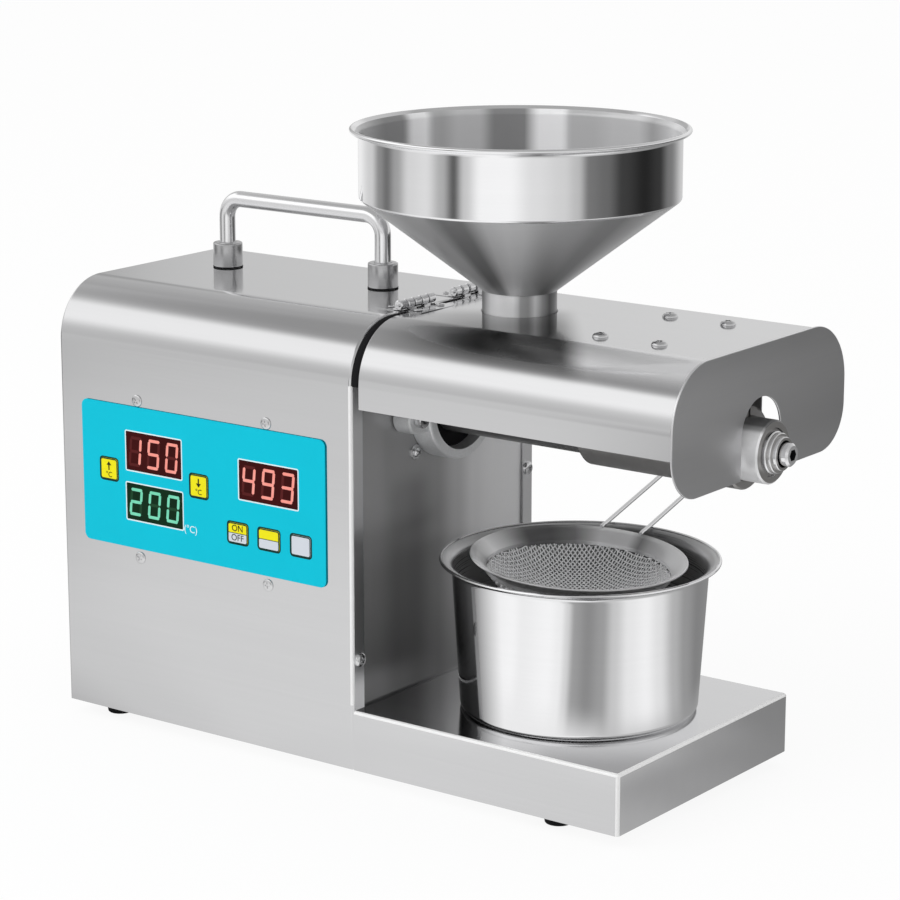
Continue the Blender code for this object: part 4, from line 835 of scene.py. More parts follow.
def c_section(start, end, flange):
    """A folded sheet's section as (x, depth) points, with a return flange at each end or none."""
    if not flange:
        edge = 0.0004
        points = [(start, SHEET - 0.0003)] + turn_arc((start + edge, edge), edge, 180, 270, 2)
        points += turn_arc((end - edge, edge), edge, 270, 360, 2)
        return points + [(end, SHEET - 0.0003), (end - 0.0003, SHEET), (start + 0.0003, SHEET)]
    radius = press().fold_radius
    inside = max(radius - SHEET, 0.0004)
    left, right = (start + radius, radius), (end - radius, radius)
    points = [(start, flange)] + turn_arc(left, radius, 180, 270, 6)
    points += turn_arc(right, radius, 270, 360, 6) + [(end, flange), (end - SHEET, flange)]
    points += turn_arc(right, inside, 360, 270, 6) + turn_arc(left, inside, 270, 180, 6)
    return points + [(start + SHEET, flange)]


class OILPRESS_OT_housing(bpy.types.Operator):
    """Folds the housing's outer sheet, with its flanges, panel opening and vents"""

    bl_idname = "oilpress.housing"
    bl_label = "Housing sheet"

    def execute(self, context):
        path = housing_path([0.0, PLATFORM_HEIGHT + 0.003])
        bm = form(sweep, c_section(0.0, HOUSING_LENGTH, FLANGE_WIDTH), path)
        shell = piece("housing_sheet", bm, "brushed_sheet")
        bm = bmesh.new()
        for low, high in ((0.0014, 0.012), (DEPTH - 0.012, DEPTH - 0.0014)):
            box(bm, (HOUSING_LENGTH - 0.003, low, -0.001), (HOUSING_LENGTH + 0.001, high, 0.0028))
        carve(shell, bm)
        bm = form(slab, rounded(0.024, 0.189, 0.108, 0.177, 0.002), -0.002, 0.003, "Y")
        for k in range(7):
            x = 0.07075 + 0.012 * k
            slab(bm, rounded(x - 0.002, x + 0.002, 0.112, 0.158, 0.0019, 5), 0.166, 0.172, "Y")
        carve(shell, bm)
        weigh(shell)
        spring = HEIGHT - CORNER_RADIUS
        # The right-hand flanges take the lighter copy of the brushed sheet: painted light.
        paint(shell, "flange_brushed", lambda at, way: way.x > 0.9 and at.x > HOUSING_LENGTH - 0.0005)
        # Painted highlight on the housing's front right fold.
        paint(shell, "worn_edge", lambda at, way: (
            at.y < 0.002 and at.x > HOUSING_LENGTH - 0.0025 and way.y < -0.12 and way.x > 0.12
            and 0.055 < at.z < spring
        ))
        dress(shell, "housing", ["housing_shell"])
        return {"FINISHED"}


class OILPRESS_OT_platform(bpy.types.Operator):
    """Folds the low platform and turns the rubber feet"""

    bl_idname = "oilpress.platform"
    bl_label = "Platform and feet"

    def execute(self, context):
        start, end = PLATFORM
        bm = form(box, (start, 0, 0), (end, DEPTH, PLATFORM_HEIGHT))
        open_sides = [f for f in bm.faces if f.normal.z < -0.5 or f.normal.x < -0.5]
        bmesh.ops.delete(bm, geom=open_sides, context="FACES")
        folds = [e for e in bm.edges if len(e.link_faces) == 2]
        bmesh.ops.bevel(bm, geom=folds, offset=0.0017, segments=4, profile=0.5, affect="EDGES")
        tray = piece("platform_sheet", bm, "brushed_sheet", sharp=50)
        wall = tray.modifiers.new("wall", "SOLIDIFY")
        wall.thickness = PLATFORM_SHEET
        wall.offset = -1
        wall.use_even_offset = True
        weigh(tray)
        paint(tray, "platform_top", lambda at, way: way.z > 0.97 and at.z > PLATFORM_HEIGHT - 0.0005)
        # Painted highlight on the platform's folded edges, all but the rear ones.
        paint(tray, "worn_edge", lambda at, way: (
            sum(abs(part) > 0.15 for part in way) > 1 and at.y < DEPTH - 0.002
        ))
        dress(tray, "housing", ["base_platform"])
        tray.visible_glossy = False
        low = (0.2121, 0.0104, PLATFORM_HEIGHT - 0.0014)
        bm = form(box, low, (start + 0.0004, DEPTH - 0.0104, PLATFORM_HEIGHT))
        piece("platform_lip", bm, "brushed_sheet", "housing", ())
        profile = [(0.0, 0.0007), (0.0084, 0.0007), (0.0088, 0.0003), (0.0088, -0.0012)]
        profile += [(0.0076, -0.0068)] + turn_arc((0.0066, -0.0070), 0.0010, 0, -90, 4)
        profile += [(0.0040, -0.008), (0.0030, -0.0074), (0.0, -0.0074)]
        for side, x in (("left", 0.0235), ("right", 0.3381)):
            for row, y in (("front", 0.0183), ("rear", 0.1517)):
                name = f"foot_{row}_{side}"
                bm = form(lathe, profile, (x, y, 0), steps=48)
                piece(f"{name}_moulding", bm, "rubber", "housing", [name])
        dress_node("bottom_plate", "brushed_sheet")
        return {"FINISHED"}


def letters(name, text, size, x, z, look, body, level=-0.00152):
    """Flat generic marks, such as ON, OFF or a unit, centred at a place on the panel."""
    curve = bpy.data.curves.new(name, "FONT")
    curve.body = text
    curve.size = size
    curve.align_x = "CENTER"
    curve.align_y = "CENTER"
    curve.extrude = 0.00002
    item = link(name, curve)
    mesh = baked(item)
    bpy.data.objects.remove(item, do_unlink=True)
    upright = Matrix.Rotation(math.radians(90), 4, "X")
    mesh.transform(TO_FRAME @ Matrix.Translation((x, level, z)) @ upright)
    mesh.materials.clear()
    mesh.materials.append(finish(look))
    dress(link(name, mesh), body, ())


def grown(sides, by):
    """A rectangle's left, right, bottom and top, each moved outwards."""
    left, right, bottom, top = sides
    return left - by, right + by, bottom - by, top + by


def digit_segments(left, right, bottom, top):
    """The seven bars of one digit, as outlines that lean a little to the right."""
    bar = (right - left) * 0.19
    lean = 0.10
    half = (top - bottom) / 2
    gap = bar * 0.10

    def flat_bar(level):
        a, b = left + gap + bar * 0.5, right - gap - bar * 0.5
        return [
            (a - bar * 0.4, level), (a, level + bar / 2), (b, level + bar / 2),
            (b + bar * 0.4, level), (b, level - bar / 2), (a, level - bar / 2),
        ]

    def upright_bar(at, low, high):
        low, high = low + gap + bar * 0.5, high - gap - bar * 0.5
        return [
            (at, low - bar * 0.4), (at - bar / 2, low), (at - bar / 2, high),
            (at, high + bar * 0.4), (at + bar / 2, high), (at + bar / 2, low),
        ]

    inset = bar / 2
    middle = bottom + half
    shapes = {
        "a": flat_bar(top - inset),
        "g": flat_bar(middle),
        "d": flat_bar(bottom + inset),
        "f": upright_bar(left + inset, middle, top - inset),
        "b": upright_bar(right - inset, middle, top - inset),
        "e": upright_bar(left + inset, bottom + inset, middle),
        "c": upright_bar(right - inset, bottom + inset, middle),
    }
    return {
        key: [(x + (z - middle) * lean, z) for x, z in points] for key, points in shapes.items()
    }


class OILPRESS_OT_panel(bpy.types.Operator):
    """Prints the control panel, lights its digits and makes its keys"""

    bl_idname = "oilpress.panel"
    bl_label = "Control panel"

    def execute(self, context):
        bm = form(slab, rounded(0.017, 0.196, 0.101, 0.184, 0.004, 8), -0.0011, -0.0003, "Y", 0.00015)
        sheet = piece("panel_sheet", bm, "panel_sheet")
        bm = bmesh.new()
        for places, radius in ((WINDOWS, 0.0012), (KEYS, 0.0018)):
            for sides in places.values():
                slab(bm, rounded(*grown(sides, 0.0003), radius, 4), -0.002, 0.001, "Y")
        carve(sheet, bm)
        dress(sheet, "housing", ["control_overlay"])
        for name, places, look, outer, inner, steps, face in (
            ("window_frames", WINDOWS, "panel_white", 0.0012, 0.0006, 4, -0.00116),
            ("key_rings", KEYS, "key_border", 0.0024, 0.0017, 6, -0.00114),
        ):
            bm = bmesh.new()
            for sides in places.values():
                around = rounded(*grown(sides, 0.0009), outer, steps)
                frame_ring(bm, around, rounded(*grown(sides, 0.0002), inner, steps), face, -0.0008)
            piece(name, bm, look, "housing", ())
        for name, sides in WINDOWS.items():
            self.digits(name, *sides)
        letters("unit_mark", "(°C)", 0.0058, 0.0985, 0.1188, "panel_white", "housing",
                -0.00112)
        for name, sides in KEYS.items():
            self.key(name, *sides)
        dress_node("control_board", "board_green")
        dress_node("board_bracket", "inner_steel")
        return {"FINISHED"}

    def digits(self, name, left, right, bottom, top):
        tone = "green" if name == "display_setting" else "red"
        slot = f"window_{tone}"
        dress_node(name, slot)
        lit_bars, dark_bars = bmesh.new(), bmesh.new()
        wide = (right - left) / 3
        for k, digit in enumerate(READINGS[name]):
            start = left + wide * k + wide * 0.16
            bars = digit_segments(start, start + wide * 0.66, bottom + 0.0024, top - 0.0024)
            for key, outline in bars.items():
                on = key in SEGMENTS[digit]
                slab(lit_bars if on else dark_bars, outline, -0.00114 if on else -0.00112, -0.0009, "Y")
        piece(f"{name}_digits", lit_bars, f"lit_{tone}", "housing", ())
        piece(f"{name}_unlit", dark_bars, f"unlit_{tone}", "housing", ())

    def key(self, name, left, right, bottom, top):
        look = "key_pale" if name == "key_clear" else "key_yellow"
        x, z = (left + right) / 2, (bottom + top) / 2
        cap = rounded(left, right, bottom, top, 0.0015, 6)
        bm = form(slab, cap, -0.00142, -0.0003, "Y", 0.00012)
        lathe(bm, [(0, 0.0), (0.0016, 0.0), (0.0016, 0.0034), (0, 0.0034)], (0, 0, 0), "X", 20)
        stem = [v for v in bm.verts if v.co.x > -0.001 and v.co.x < 0.01 and abs(v.co.y) < 0.002]
        quarter_turn = Matrix.Rotation(math.radians(90), 4, "Z")
        inward = Matrix.Translation((x, -0.0005, z)) @ quarter_turn
        bmesh.ops.transform(bm, matrix=inward, verts=stem)
        piece(f"{name}_cap", bm, look, name, [name])
        inset = 0.0006
        inner = rounded(*grown((left, right, bottom, top), -inset), 0.001, 6)
        bm = form(frame_ring, cap, inner, -0.00148, -0.0014)
        piece(f"{name}_outline", bm, "key_border", name, ())
        if name in ("key_heat", "key_press"):
            lower = rounded(left + inset, right - inset, bottom + inset, z, 0.0008, 4)
            bm = form(slab, lower, -0.00146, -0.0014, "Y")
            piece(f"{name}_lower", bm, "key_pale", name, ())
            bm = form(box, (left + inset, -0.00149, z - 0.00018), (right - inset, -0.0014, z + 0.00018))
            piece(f"{name}_divider", bm, "key_border", name, ())
        rise = (top - bottom) / 4 - 0.0002
        if name == "key_heat":
            letters("mark_on", "ON", 0.0052, x, z + rise, "key_ink", name)
            letters("mark_off", "OFF", 0.0052, x, z - rise, "key_ink", name)
        elif name in ("key_up", "key_down"):
            sign = 1 if name == "key_up" else -1
            arrow = [(-0.00045, -0.0026), (0.00045, -0.0026), (0.00045, 0.0003), (0.0018, 0.0003),
                     (0.0, 0.0025), (-0.0018, 0.0003), (-0.00045, 0.0003)]
            points = [(x + u * sign, z + 0.0019 + v * sign) for u, v in arrow]
            bm = form(slab, points, -0.00149, -0.0014, "Y")
            piece(f"{name}_arrow", bm, "key_ink", name, ())
            letters(f"{name}_unit", "°C", 0.0044, x, z - 0.0034, "key_ink", name)


class OILPRESS_OT_carry_handle(bpy.types.Operator):
    """Bends the carry handle's rod and turns its two ferrules"""

    bl_idname = "oilpress.carry_handle"
    bl_label = "Carry handle"

    def execute(self, context):
        x0, x1, y, top, bend = 0.0475, 0.1625, 0.094, 0.2908, 0.011
        line = [(x0, y, 0.2568), (x0, y, 0.266)]
        line += [(x, y, z) for x, z in turn_arc((x0 + bend, top - bend), bend, 180, 90, 14)]
        line += [(x, y, z) for x, z in turn_arc((x1 - bend, top - bend), bend, 90, 0, 14)]
        line += [(x1, y, 0.266), (x1, y, 0.2568)]
        bm = form(tube, line, 0.0047, 32)
        piece("handle_rod", bm, "polished_rod", "housing", ["carry_handle"])
        profile = turn_arc((0.0086 - 0.0009, 0.0143 - 0.0009), 0.0009, 90, 0, 4)
        profile += [(0.0086, 0.0008), (0.0085, 0.0004), (0.0033, 0.0004), (0.0033, 0.0062)]
        profile += [(0.0050, 0.0062), (0.0050, 0.0139), (0.0054, 0.0143)]
        washer = turn_arc((0.0085, 0.0003), 0.0003, -90, 90, 6) + [(0.0080, 0.0006), (0.0080, 0.0)]
        for side, x in (("left", x0), ("right", x1)):
            bm = form(lathe, profile, (x, y, 0.2503), steps=64)
            name = f"handle_ferrule_{side}"
            piece(f"{name}_turning", bm, "ferrule_steel", "housing", [name])
            bm = form(lathe, washer, (x, y, 0.2502), steps=64)
            piece(f"ferrule_washer_{side}", bm, "rubber", "housing", ())
            dress_node(f"handle_bolt_{side}", "bright_fixings")
        return {"FINISHED"}


class OILPRESS_OT_hinges(bpy.types.Operator):
    """Rolls the two hinges between housing and hood"""

    bl_idname = "oilpress.hinges"
    bl_label = "Hinges"

    def execute(self, context):
        axis_x, axis_z, radius, length = 0.2115, 0.253, 0.0028, 0.032
        pitch = length / 5
        for row, side in (("front", -1), ("rear", 1)):
            first = MIDDLE_Y + side * 0.025 - length / 2
            for body, way, own, node in (
                ("housing", -1, (0, 2, 4), f"hinge_leaf_{row}"),
                ("hood", 1, (1, 3), f"hinge_leaf_hood_{row}"),
            ):
                near, far = axis_x + way * 0.0029, axis_x + way * 0.015
                sides = min(near, far), max(near, far), first, first + length
                bm = form(slab, rounded(*sides, 0.001, 4), 0.25005, 0.2504, "Z")
                for k in own:
                    start, end = first + k * pitch + 0.0005, first + (k + 1) * pitch - 0.0005
                    roll = turn_arc((axis_x, axis_z), radius, 0, 360, 28)[:-1]
                    slab(bm, [(z, x) for x, z in roll], start, end, "Y", 0.0005,
                         Matrix(((0, 0, 1, 0), (0, 1, 0, 0), (1, 0, 0, 0), (0, 0, 0, 1))))
                    tab = sorted((axis_x + way * 0.0006, near + way * 0.0005))
                    box(bm, (tab[0], start, 0.2503), (tab[1], end, 0.2513))
                item = piece(f"{node}_pressing", bm, "knuckle_steel")
                look = "brushed_sheet" if way < 0 else "hood_brushed"
                paint(item, look, lambda at, turned: abs(at.x - axis_x) > 0.0029)
                dress(item, body, [node])
            pin = [(axis_x, first - 0.0004, axis_z), (axis_x, first + length + 0.0004, axis_z)]
            bm = form(tube, pin, 0.0011)
            node = f"hinge_pin_{row}"
            piece(f"{node}_wire", bm, "bright_fixings", "housing", [node])
        return {"FINISHED"}


class OILPRESS_OT_hood(bpy.types.Operator):
    """Folds the hood's sheet, cuts its end plate and lays the dark strip in the seam"""

    bl_idname = "oilpress.hood"
    bl_label = "Hood"

    def execute(self, context):
        bm = form(sweep, c_section(*HOOD, 0), housing_path([HOOD_BOTTOM]))
        shell = piece("hood_sheet", bm, "hood_brushed")
        mouth = [(0, 0.247), (0.021, 0.247), (0.021, 0.252), (0, 0.252)]
        carve(shell, form(lathe, mouth, (THROAT_X, MIDDLE_Y, 0)))
        weigh(shell)
        dress(shell, "hood", ["hood_shell"])

        slot, low, high, crown = 0.0195, -0.001, DEPTH + 0.001, 0.2507
        outline = turn_arc((low + 0.024, 0.205), 0.024, -90, -180, 16)
        outline += turn_arc((low + 0.033, crown - 0.033), 0.033, 180, 90, 20)
        outline += turn_arc((high - 0.033, crown - 0.033), 0.033, 90, 0, 20)
        outline += turn_arc((high - 0.024, 0.205), 0.024, 0, -90, 16)
        outline += [(MIDDLE_Y + slot, 0.181)]
        outline += turn_arc((MIDDLE_Y, 0.203), slot, 0, 180, 32)
        outline += [(MIDDLE_Y - slot, 0.181)]
        bm = form(slab, outline, *PLATE, "X", 0.0003)
        piece("hood_end_sheet", bm, "dark_sheet", "hood", ["hood_end_plate"])

        start, end = 0.2138, 0.2182
        section = [(start, 0.003), (start, 0.0006), (start + 0.0008, 0.0001)]
        section += [(end - 0.0008, 0.0001), (end, 0.0006), (end, 0.003)]
        bm = form(sweep, section, housing_path([HEIGHT - CORNER_RADIUS])[1:-1])
        piece("seam_strip", bm, "rubber", "housing", ["seam_gasket"])
        dress_node("hopper_seat", "turned_steel")
        dress_node("heat_shield", "inner_steel")
        return {"FINISHED"}


class OILPRESS_OT_press_head(bpy.types.Operator):
    """Turns the chamber flange, barrel, band heater, nozzle and auger"""

    bl_idname = "oilpress.press_head"
    bl_label = "Press head"

    centre = (0, MIDDLE_Y, AXIS_Z)

    def execute(self, context):
        self.flange()
        self.barrel()
        self.band_and_nozzle()
        self.auger()
        return {"FINISHED"}

    def turned(self, profile, steps=96):
        return form(lathe, profile, self.centre, "X", steps)

    def flange(self):
        face = WALL_FACE
        profile = [(r, x) for x, r in turn_arc((face + 0.0125, 0.0305), 0.0015, 0, 90, 4)]
        profile += [(0.032, face), (0.010, face), (0.010, face + 0.002), (0.0173, face + 0.002)]
        profile += [(0.0173, face + 0.007), (0.0255, face + 0.007), (0.0265, face + 0.014)]
        flange = piece("chamber_casting", self.turned(profile), "cast_metal")
        lug_y, lug_z, radius = 0.046, 0.191, 0.0085
        outline = turn_arc((lug_y, lug_z), radius, 90, 270, 20)
        outline += [(0.056, lug_z - radius), (0.056, lug_z + radius)]
        carve(flange, form(slab, outline, face, 0.2243, "X", 0.0008), "UNION")
        # The recess inside the casting takes the black rubber finish: painted shadow.
        paint(flange, "rubber", lambda at, way: (
            face + 0.001 < at.x < face + 0.0085
            and math.hypot(at.y - MIDDLE_Y, at.z - AXIS_Z) < 0.0262
        ))
        dress(flange, "housing", ["chamber_flange"])
        head = [(0, 0.2246), (0.0045, 0.2246), (0.0045, 0.2281), (0.0040, 0.2286), (0, 0.2286)]
        screw = piece("clamp_screw_head", form(lathe, head, (0, lug_y, lug_z), "X", 48), "bright_fixings")
        carve(screw, form(slab, turn_arc((lug_y, lug_z), 0.0024, 0, 300, 5), 0.2263, 0.230, "X"))
        dress(screw, "housing", ["clamp_screw"])

    def barrel(self):
        tail = WALL_FACE + 0.0023
        profile = [(BARREL_RADIUS - 0.0009, BARREL_END), (BARREL_RADIUS, BARREL_END - 0.0009)]
        profile += [(BARREL_RADIUS, tail), (BARREL_BORE, tail), (BARREL_BORE, 0.414)]
        profile += [(0.0129, 0.414), (0.0129, BARREL_END)]
        barrel = piece("barrel_tube", self.turned(profile), "barrel_satin")
        throat = (THROAT_X, MIDDLE_Y, 0)
        cup = [(0, 0.222), (0.024, 0.222), (0.024, 0.218), (0.0135, 0.2073), (0, 0.2073)]
        carve(barrel, form(lathe, cup, throat, steps=48), "UNION")
        funnel = [(0, 0.223), (0.023, 0.223), (0.0225, 0.218), (0.0105, 0.211), (0.0105, 0.196)]
        bm = form(lathe, funnel + [(0, 0.196)], throat, steps=48)
        for k in range(9):
            x = 0.283 + 0.0032 * k
            box(bm, (x, MIDDLE_Y - 0.0092, 0.175), (x + 0.0012, MIDDLE_Y + 0.0092, 0.188))
        carve(barrel, bm)
        paint(barrel, "heater_steel", lambda at, way: abs(way.x) > 0.9)
        dress(barrel, "housing", ["press_barrel"])

    def band_and_nozzle(self):
        profile = [(0.0210, 0.410), (0.022, 0.409), (0.022, 0.3165), (0.0212, 0.3155)]
        profile += [(0.0185, 0.3132), (0.0173, 0.313), (0.0173, 0.410)]
        band = piece("heater_wrap", self.turned(profile), "heater_steel")
        carve(band, form(box, (0.312, 0.084, 0.209), (0.411, 0.086, 0.218)))
        dress(band, "housing", ["heater_band"])
        profile = [(0.0086, 0.4316), (0.0090, 0.4312), (0.0090, 0.4294), (0.0103, 0.4292)]
        profile += [(0.0107, 0.4288), (0.0107, 0.4266), (0.0110, 0.4264), (0.0113, 0.4260)]
        profile += [(0.0113, 0.4243), (0.0110, 0.424), (0.0126, 0.424), (0.0126, 0.4143)]
        profile += [(0.0082, 0.4143), (0.0072, 0.4316)]
        ring = piece("nozzle_ring", self.turned(profile), "polished_rod")
        paint(ring, "heater_steel", lambda at, way: way.x > 0.9)
        dress(ring, "nozzle", ["cake_nozzle"])

    def auger(self):
        profile = [(0, 0.4366), (0.0050, 0.4366), (0.0062, 0.4354), (0.0062, 0.408)]
        profile += [(0.0098, 0.405), (0.0062, 0.238), (0.008, 0.236), (0.008, 0.186), (0, 0.186)]
        screw = piece("auger_core", self.turned(profile, 64), "polished_rod")
        carve(screw, form(slab, turn_arc((MIDDLE_Y, AXIS_Z), 0.0033, 0, 300, 5), 0.433, 0.440, "X"))
        # The socket in the auger's tip takes the black rubber finish: painted shadow.
        paint(screw, "rubber", lambda at, way: (
            0.4325 < at.x < 0.4364 and math.hypot(at.y - MIDDLE_Y, at.z - AXIS_Z) < 0.0034
        ))
        dress(screw, "spindle", ["press_screw"])
        bm = bmesh.new()
        previous = None
        turns, per_turn = 8, 36
        for k in range(turns * per_turn + 1):
            share = k / (turns * per_turn)
            along = 0.240 + 0.164 * (share + 0.35 * share * (1 - share))
            angle = 2 * math.pi * turns * share
            inner = 0.0062 + 0.0036 * share - 0.0012
            ring = [
                bm.verts.new((along + shift * 0.0011, MIDDLE_Y + r * math.cos(angle),
                              AXIS_Z + r * math.sin(angle)))
                for r, shift in ((inner, -1.3), (0.012, -0.8), (0.012, 0.8), (inner, 1.3))
            ]
            if previous:
                ring_faces(bm, previous, ring)
            else:
                bm.faces.new(ring)
            previous = ring
        bm.faces.new(list(reversed(previous)))
        piece("auger_flight", bm, "polished_rod", "spindle", ())


def outward(at, way, axis):
    """How far a face looks away from an upright axis."""
    return (at.x - axis[0]) * way.x + (at.y - axis[1]) * way.y


class OILPRESS_OT_hopper(bpy.types.Operator):
    """Spins the hopper with its rolled rim, cone and neck"""

    bl_idname = "oilpress.hopper"
    bl_label = "Hopper"

    def execute(self, context):
        radius, rim, top, crease = 0.0873, 0.0921, 0.3505, 0.3126
        neck, neck_top, spigot = 0.0204, 0.2616, 0.017
        wall, shoulder = 0.001, HEIGHT - SHEET
        outer = turn_arc((rim - 0.0013, top - 0.0013), 0.0013, 100, -80, 8)
        outer += [(radius + 0.0022, top - 0.0024), (radius + 0.0006, top - 0.0034)]
        outer += [(radius, top - 0.0052), (radius, crease + 0.0008), (radius - 0.0002, crease)]
        outer += [(radius - 0.0007, crease - 0.0006), (radius - 0.0014, crease - 0.0011)]
        outer += [(neck + 0.0012, neck_top + 0.0010), (neck + 0.0002, neck_top + 0.0002)]
        outer += [(neck, neck_top - 0.0006), (neck, shoulder), (spigot, shoulder), (spigot, 0.2228)]
        inner = [(spigot - wall, 0.2228), (spigot - wall, shoulder + wall)]
        inner += [(neck - wall, shoulder + wall), (neck - wall, neck_top + 0.0004)]
        inner += [(radius - wall, crease + 0.0004), (radius - wall, top - 0.0048)]
        inner += [(radius - 0.0002, top - 0.0030), (radius + 0.0012, top - 0.0016)]
        inner += [(rim - 0.0026, top - 0.0006)]
        axis = (THROAT_X, MIDDLE_Y, 0)
        bm = form(lathe, outer + inner, axis, steps=press().turning_steps)
        bowl = piece("hopper_spinning", bm, "spun_steel", sharp=28, weighted=True)
        paint(bowl, "spun_cone", lambda at, way: neck_top < at.z < crease - 0.0008)
        paint(bowl, "spun_neck", lambda at, way: shoulder + 0.0005 < at.z < neck_top)
        paint(bowl, "spun_inside", lambda at, way: at.z < top - 0.0016 and (
            outward(at, way, axis) < 0 or (way.z > 0.2 and at.z < crease + 0.002)
        ))
        dress(bowl, "hopper", ["hopper"])
        return {"FINISHED"}


class OILPRESS_OT_pot(bpy.types.Operator):
    """Spins the oil pot"""

    bl_idname = "oilpress.pot"
    bl_label = "Oil pot"

    def execute(self, context):
        rim, mouth, foot, top, wall = 0.0772, 0.0703, 0.0657, 0.084, 0.001
        outer = turn_arc((rim - 0.0009, top - 0.0009), 0.0009, 100, -90, 6)
        outer += turn_arc((mouth + 0.0052, top - 0.0070), 0.0052, 90, 180, 7)
        outer += [(foot, 0.0032)] + turn_arc((foot - 0.0030, 0.0030), 0.0030, 0, -90, 7)
        outer += [(0.035, 0.0), (0.0, 0.0)]
        inner = [(0.0, wall), (foot - 0.005, wall), (foot - 0.0021, 0.0021)]
        inner += [(foot - wall, 0.0056)]
        inner += turn_arc((mouth + 0.0052, top - 0.0070), 0.0062, 180, 90, 7)
        inner += [(rim - 0.0018, top - 0.0004)]
        bm = form(lathe, outer + inner, POT, steps=press().turning_steps)
        vessel = piece("pot_spinning", bm, "spun_pot", sharp=28, weighted=True)
        base = POT[2]
        paint(vessel, "pot_inside", lambda at, way: at.z < base + top - 0.0007 and (
            outward(at, way, POT) < 0 or way.z > 0.3
        ))
        paint(vessel, "dark_steel", lambda at, way: way.z > 0.9 and at.z < base + 0.01)
        dress(vessel, "pot", ["oil_pot"])
        return {"FINISHED"}


def group_tree(name, inputs):
    """A node group with geometry in and out: its tree, its inputs and their identifiers."""
    group = bpy.data.node_groups.new(name, "GeometryNodeTree")
    face = group.interface
    face.new_socket("Geometry", in_out="INPUT", socket_type="NodeSocketGeometry")
    sockets = {}
    for label, kind, value in inputs:
        socket = face.new_socket(label, in_out="INPUT", socket_type=f"NodeSocket{kind}")
        if value is not None:
            socket.default_value = value
        sockets[label] = socket.identifier
    face.new_socket("Geometry", in_out="OUTPUT", socket_type="NodeSocketGeometry")
    tree = Tree(group)
    return tree, tree.add("NodeGroupInput"), sockets


def give_out(tree, given, geometry):
    """Ends a node group with its material and its output."""
    painted = tree.add(
        "GeometryNodeSetMaterial", None, {"Geometry": geometry, "Material": given.other("Material")}
    )
    tree.add("NodeGroupOutput", None, {"Geometry": painted})


def weave_tree():
    """Node tree that weaves two sets of wires over a bowl."""
    tree, given, sockets = group_tree("woven_bowl", (
        ("Mouth radius", "Float", 0.0505),
        ("Depth", "Float", 0.026),
        ("Spacing", "Float", 0.0018),
        ("Wire", "Float", 0.00044),
        ("Material", "Material", None),
    ))
    mouth, depth = given.other("Mouth radius"), given.other("Depth")
    spacing, wire = given.other("Spacing"), given.other("Wire")
    sphere = (mouth * mouth + depth * depth) / (2 * depth)
    half_count = tree.math("FLOOR", mouth / spacing)
    reach = half_count * spacing
    count = 2 * half_count
    families = []
    for along, sign in (("X", 1.0), ("Y", -1.0)):
        def vector(first, second):
            parts = (first, second) if along == "X" else (second, first)
            return tree.add("ShaderNodeCombineXYZ", None, {"X": parts[0], "Y": parts[1], "Z": 0.0})

        line = tree.add(
            "GeometryNodeCurvePrimitiveLine",
            None,
            {"Start": vector(0 - reach, 0.0), "End": vector(reach, 0.0)},
        )
        steps = count * 2 + 1
        fine = tree.add("GeometryNodeResampleCurve", {"mode": "COUNT"}, {"Curve": line, "Count": steps})
        rows = tree.add(
            "GeometryNodeMeshLine",
            {"mode": "OFFSET"},
            {
                "Count": count,
                "Start Location": vector(0.0, spacing / 2 - reach),
                "Offset": vector(0.0, spacing),
            },
        )
        laid = tree.add("GeometryNodeInstanceOnPoints", None, {"Points": rows, "Instance": fine})
        laid = tree.add("GeometryNodeRealizeInstances", None, {"Geometry": laid})
        x = tree.parts(tree.add("GeometryNodeInputPosition"))
        y = x.other("Y")
        flat = tree.math("SQRT", x * x + y * y)
        outside = tree.add(
            "FunctionNodeCompare", {"data_type": "FLOAT", "operation": "GREATER_THAN"},
            {"A": flat, "B": mouth},
        )
        trimmed = tree.add(
            "GeometryNodeDeleteGeometry", {"domain": "POINT"}, {"Geometry": laid, "Selection": outside}
        )
        wave_x = tree.math("SINE", (x + reach) / spacing * math.pi)
        wave_y = tree.math("SINE", (y + reach) / spacing * math.pi)
        lift = wave_x * wave_y * wire * sign
        down = tree.math("SQRT", sphere * sphere - flat * flat)
        share = (sphere + lift) / sphere
        bowl = tree.add(
            "ShaderNodeCombineXYZ",
            None,
            {"X": x * share, "Y": y * share, "Z": sphere - depth - down * share},
        )
        bent = tree.add("GeometryNodeSetPosition", None, {"Geometry": trimmed, "Position": bowl})
        round_wire = tree.add(
            "GeometryNodeCurvePrimitiveCircle", {"mode": "RADIUS"}, {"Resolution": 6, "Radius": wire}
        )
        families.append(
            tree.add(
                "GeometryNodeCurveToMesh", None,
                {"Curve": bent, "Profile Curve": round_wire, "Fill Caps": True},
            )
        )
    joined = tree.tree.nodes.new("GeometryNodeJoinGeometry")
    for family in families:
        tree.tree.links.new(family.socket, joined.inputs[0])
    every = Field(tree.tree, joined.outputs[0])
    real = tree.add("GeometryNodeRealizeInstances", None, {"Geometry": every})
    give_out(tree, given, tree.add("GeometryNodeSetShadeSmooth", None, {"Geometry": real}))
    return tree.tree, sockets


def grown_by_nodes(name, mesh, group, sockets, values):
    """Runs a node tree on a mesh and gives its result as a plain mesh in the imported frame."""
    item = link(name, mesh)
    grow = item.modifiers.new("grow", "NODES")
    grow.node_group = group
    for label, value in values.items():
        grow[sockets[label]] = value
    return settle(item)


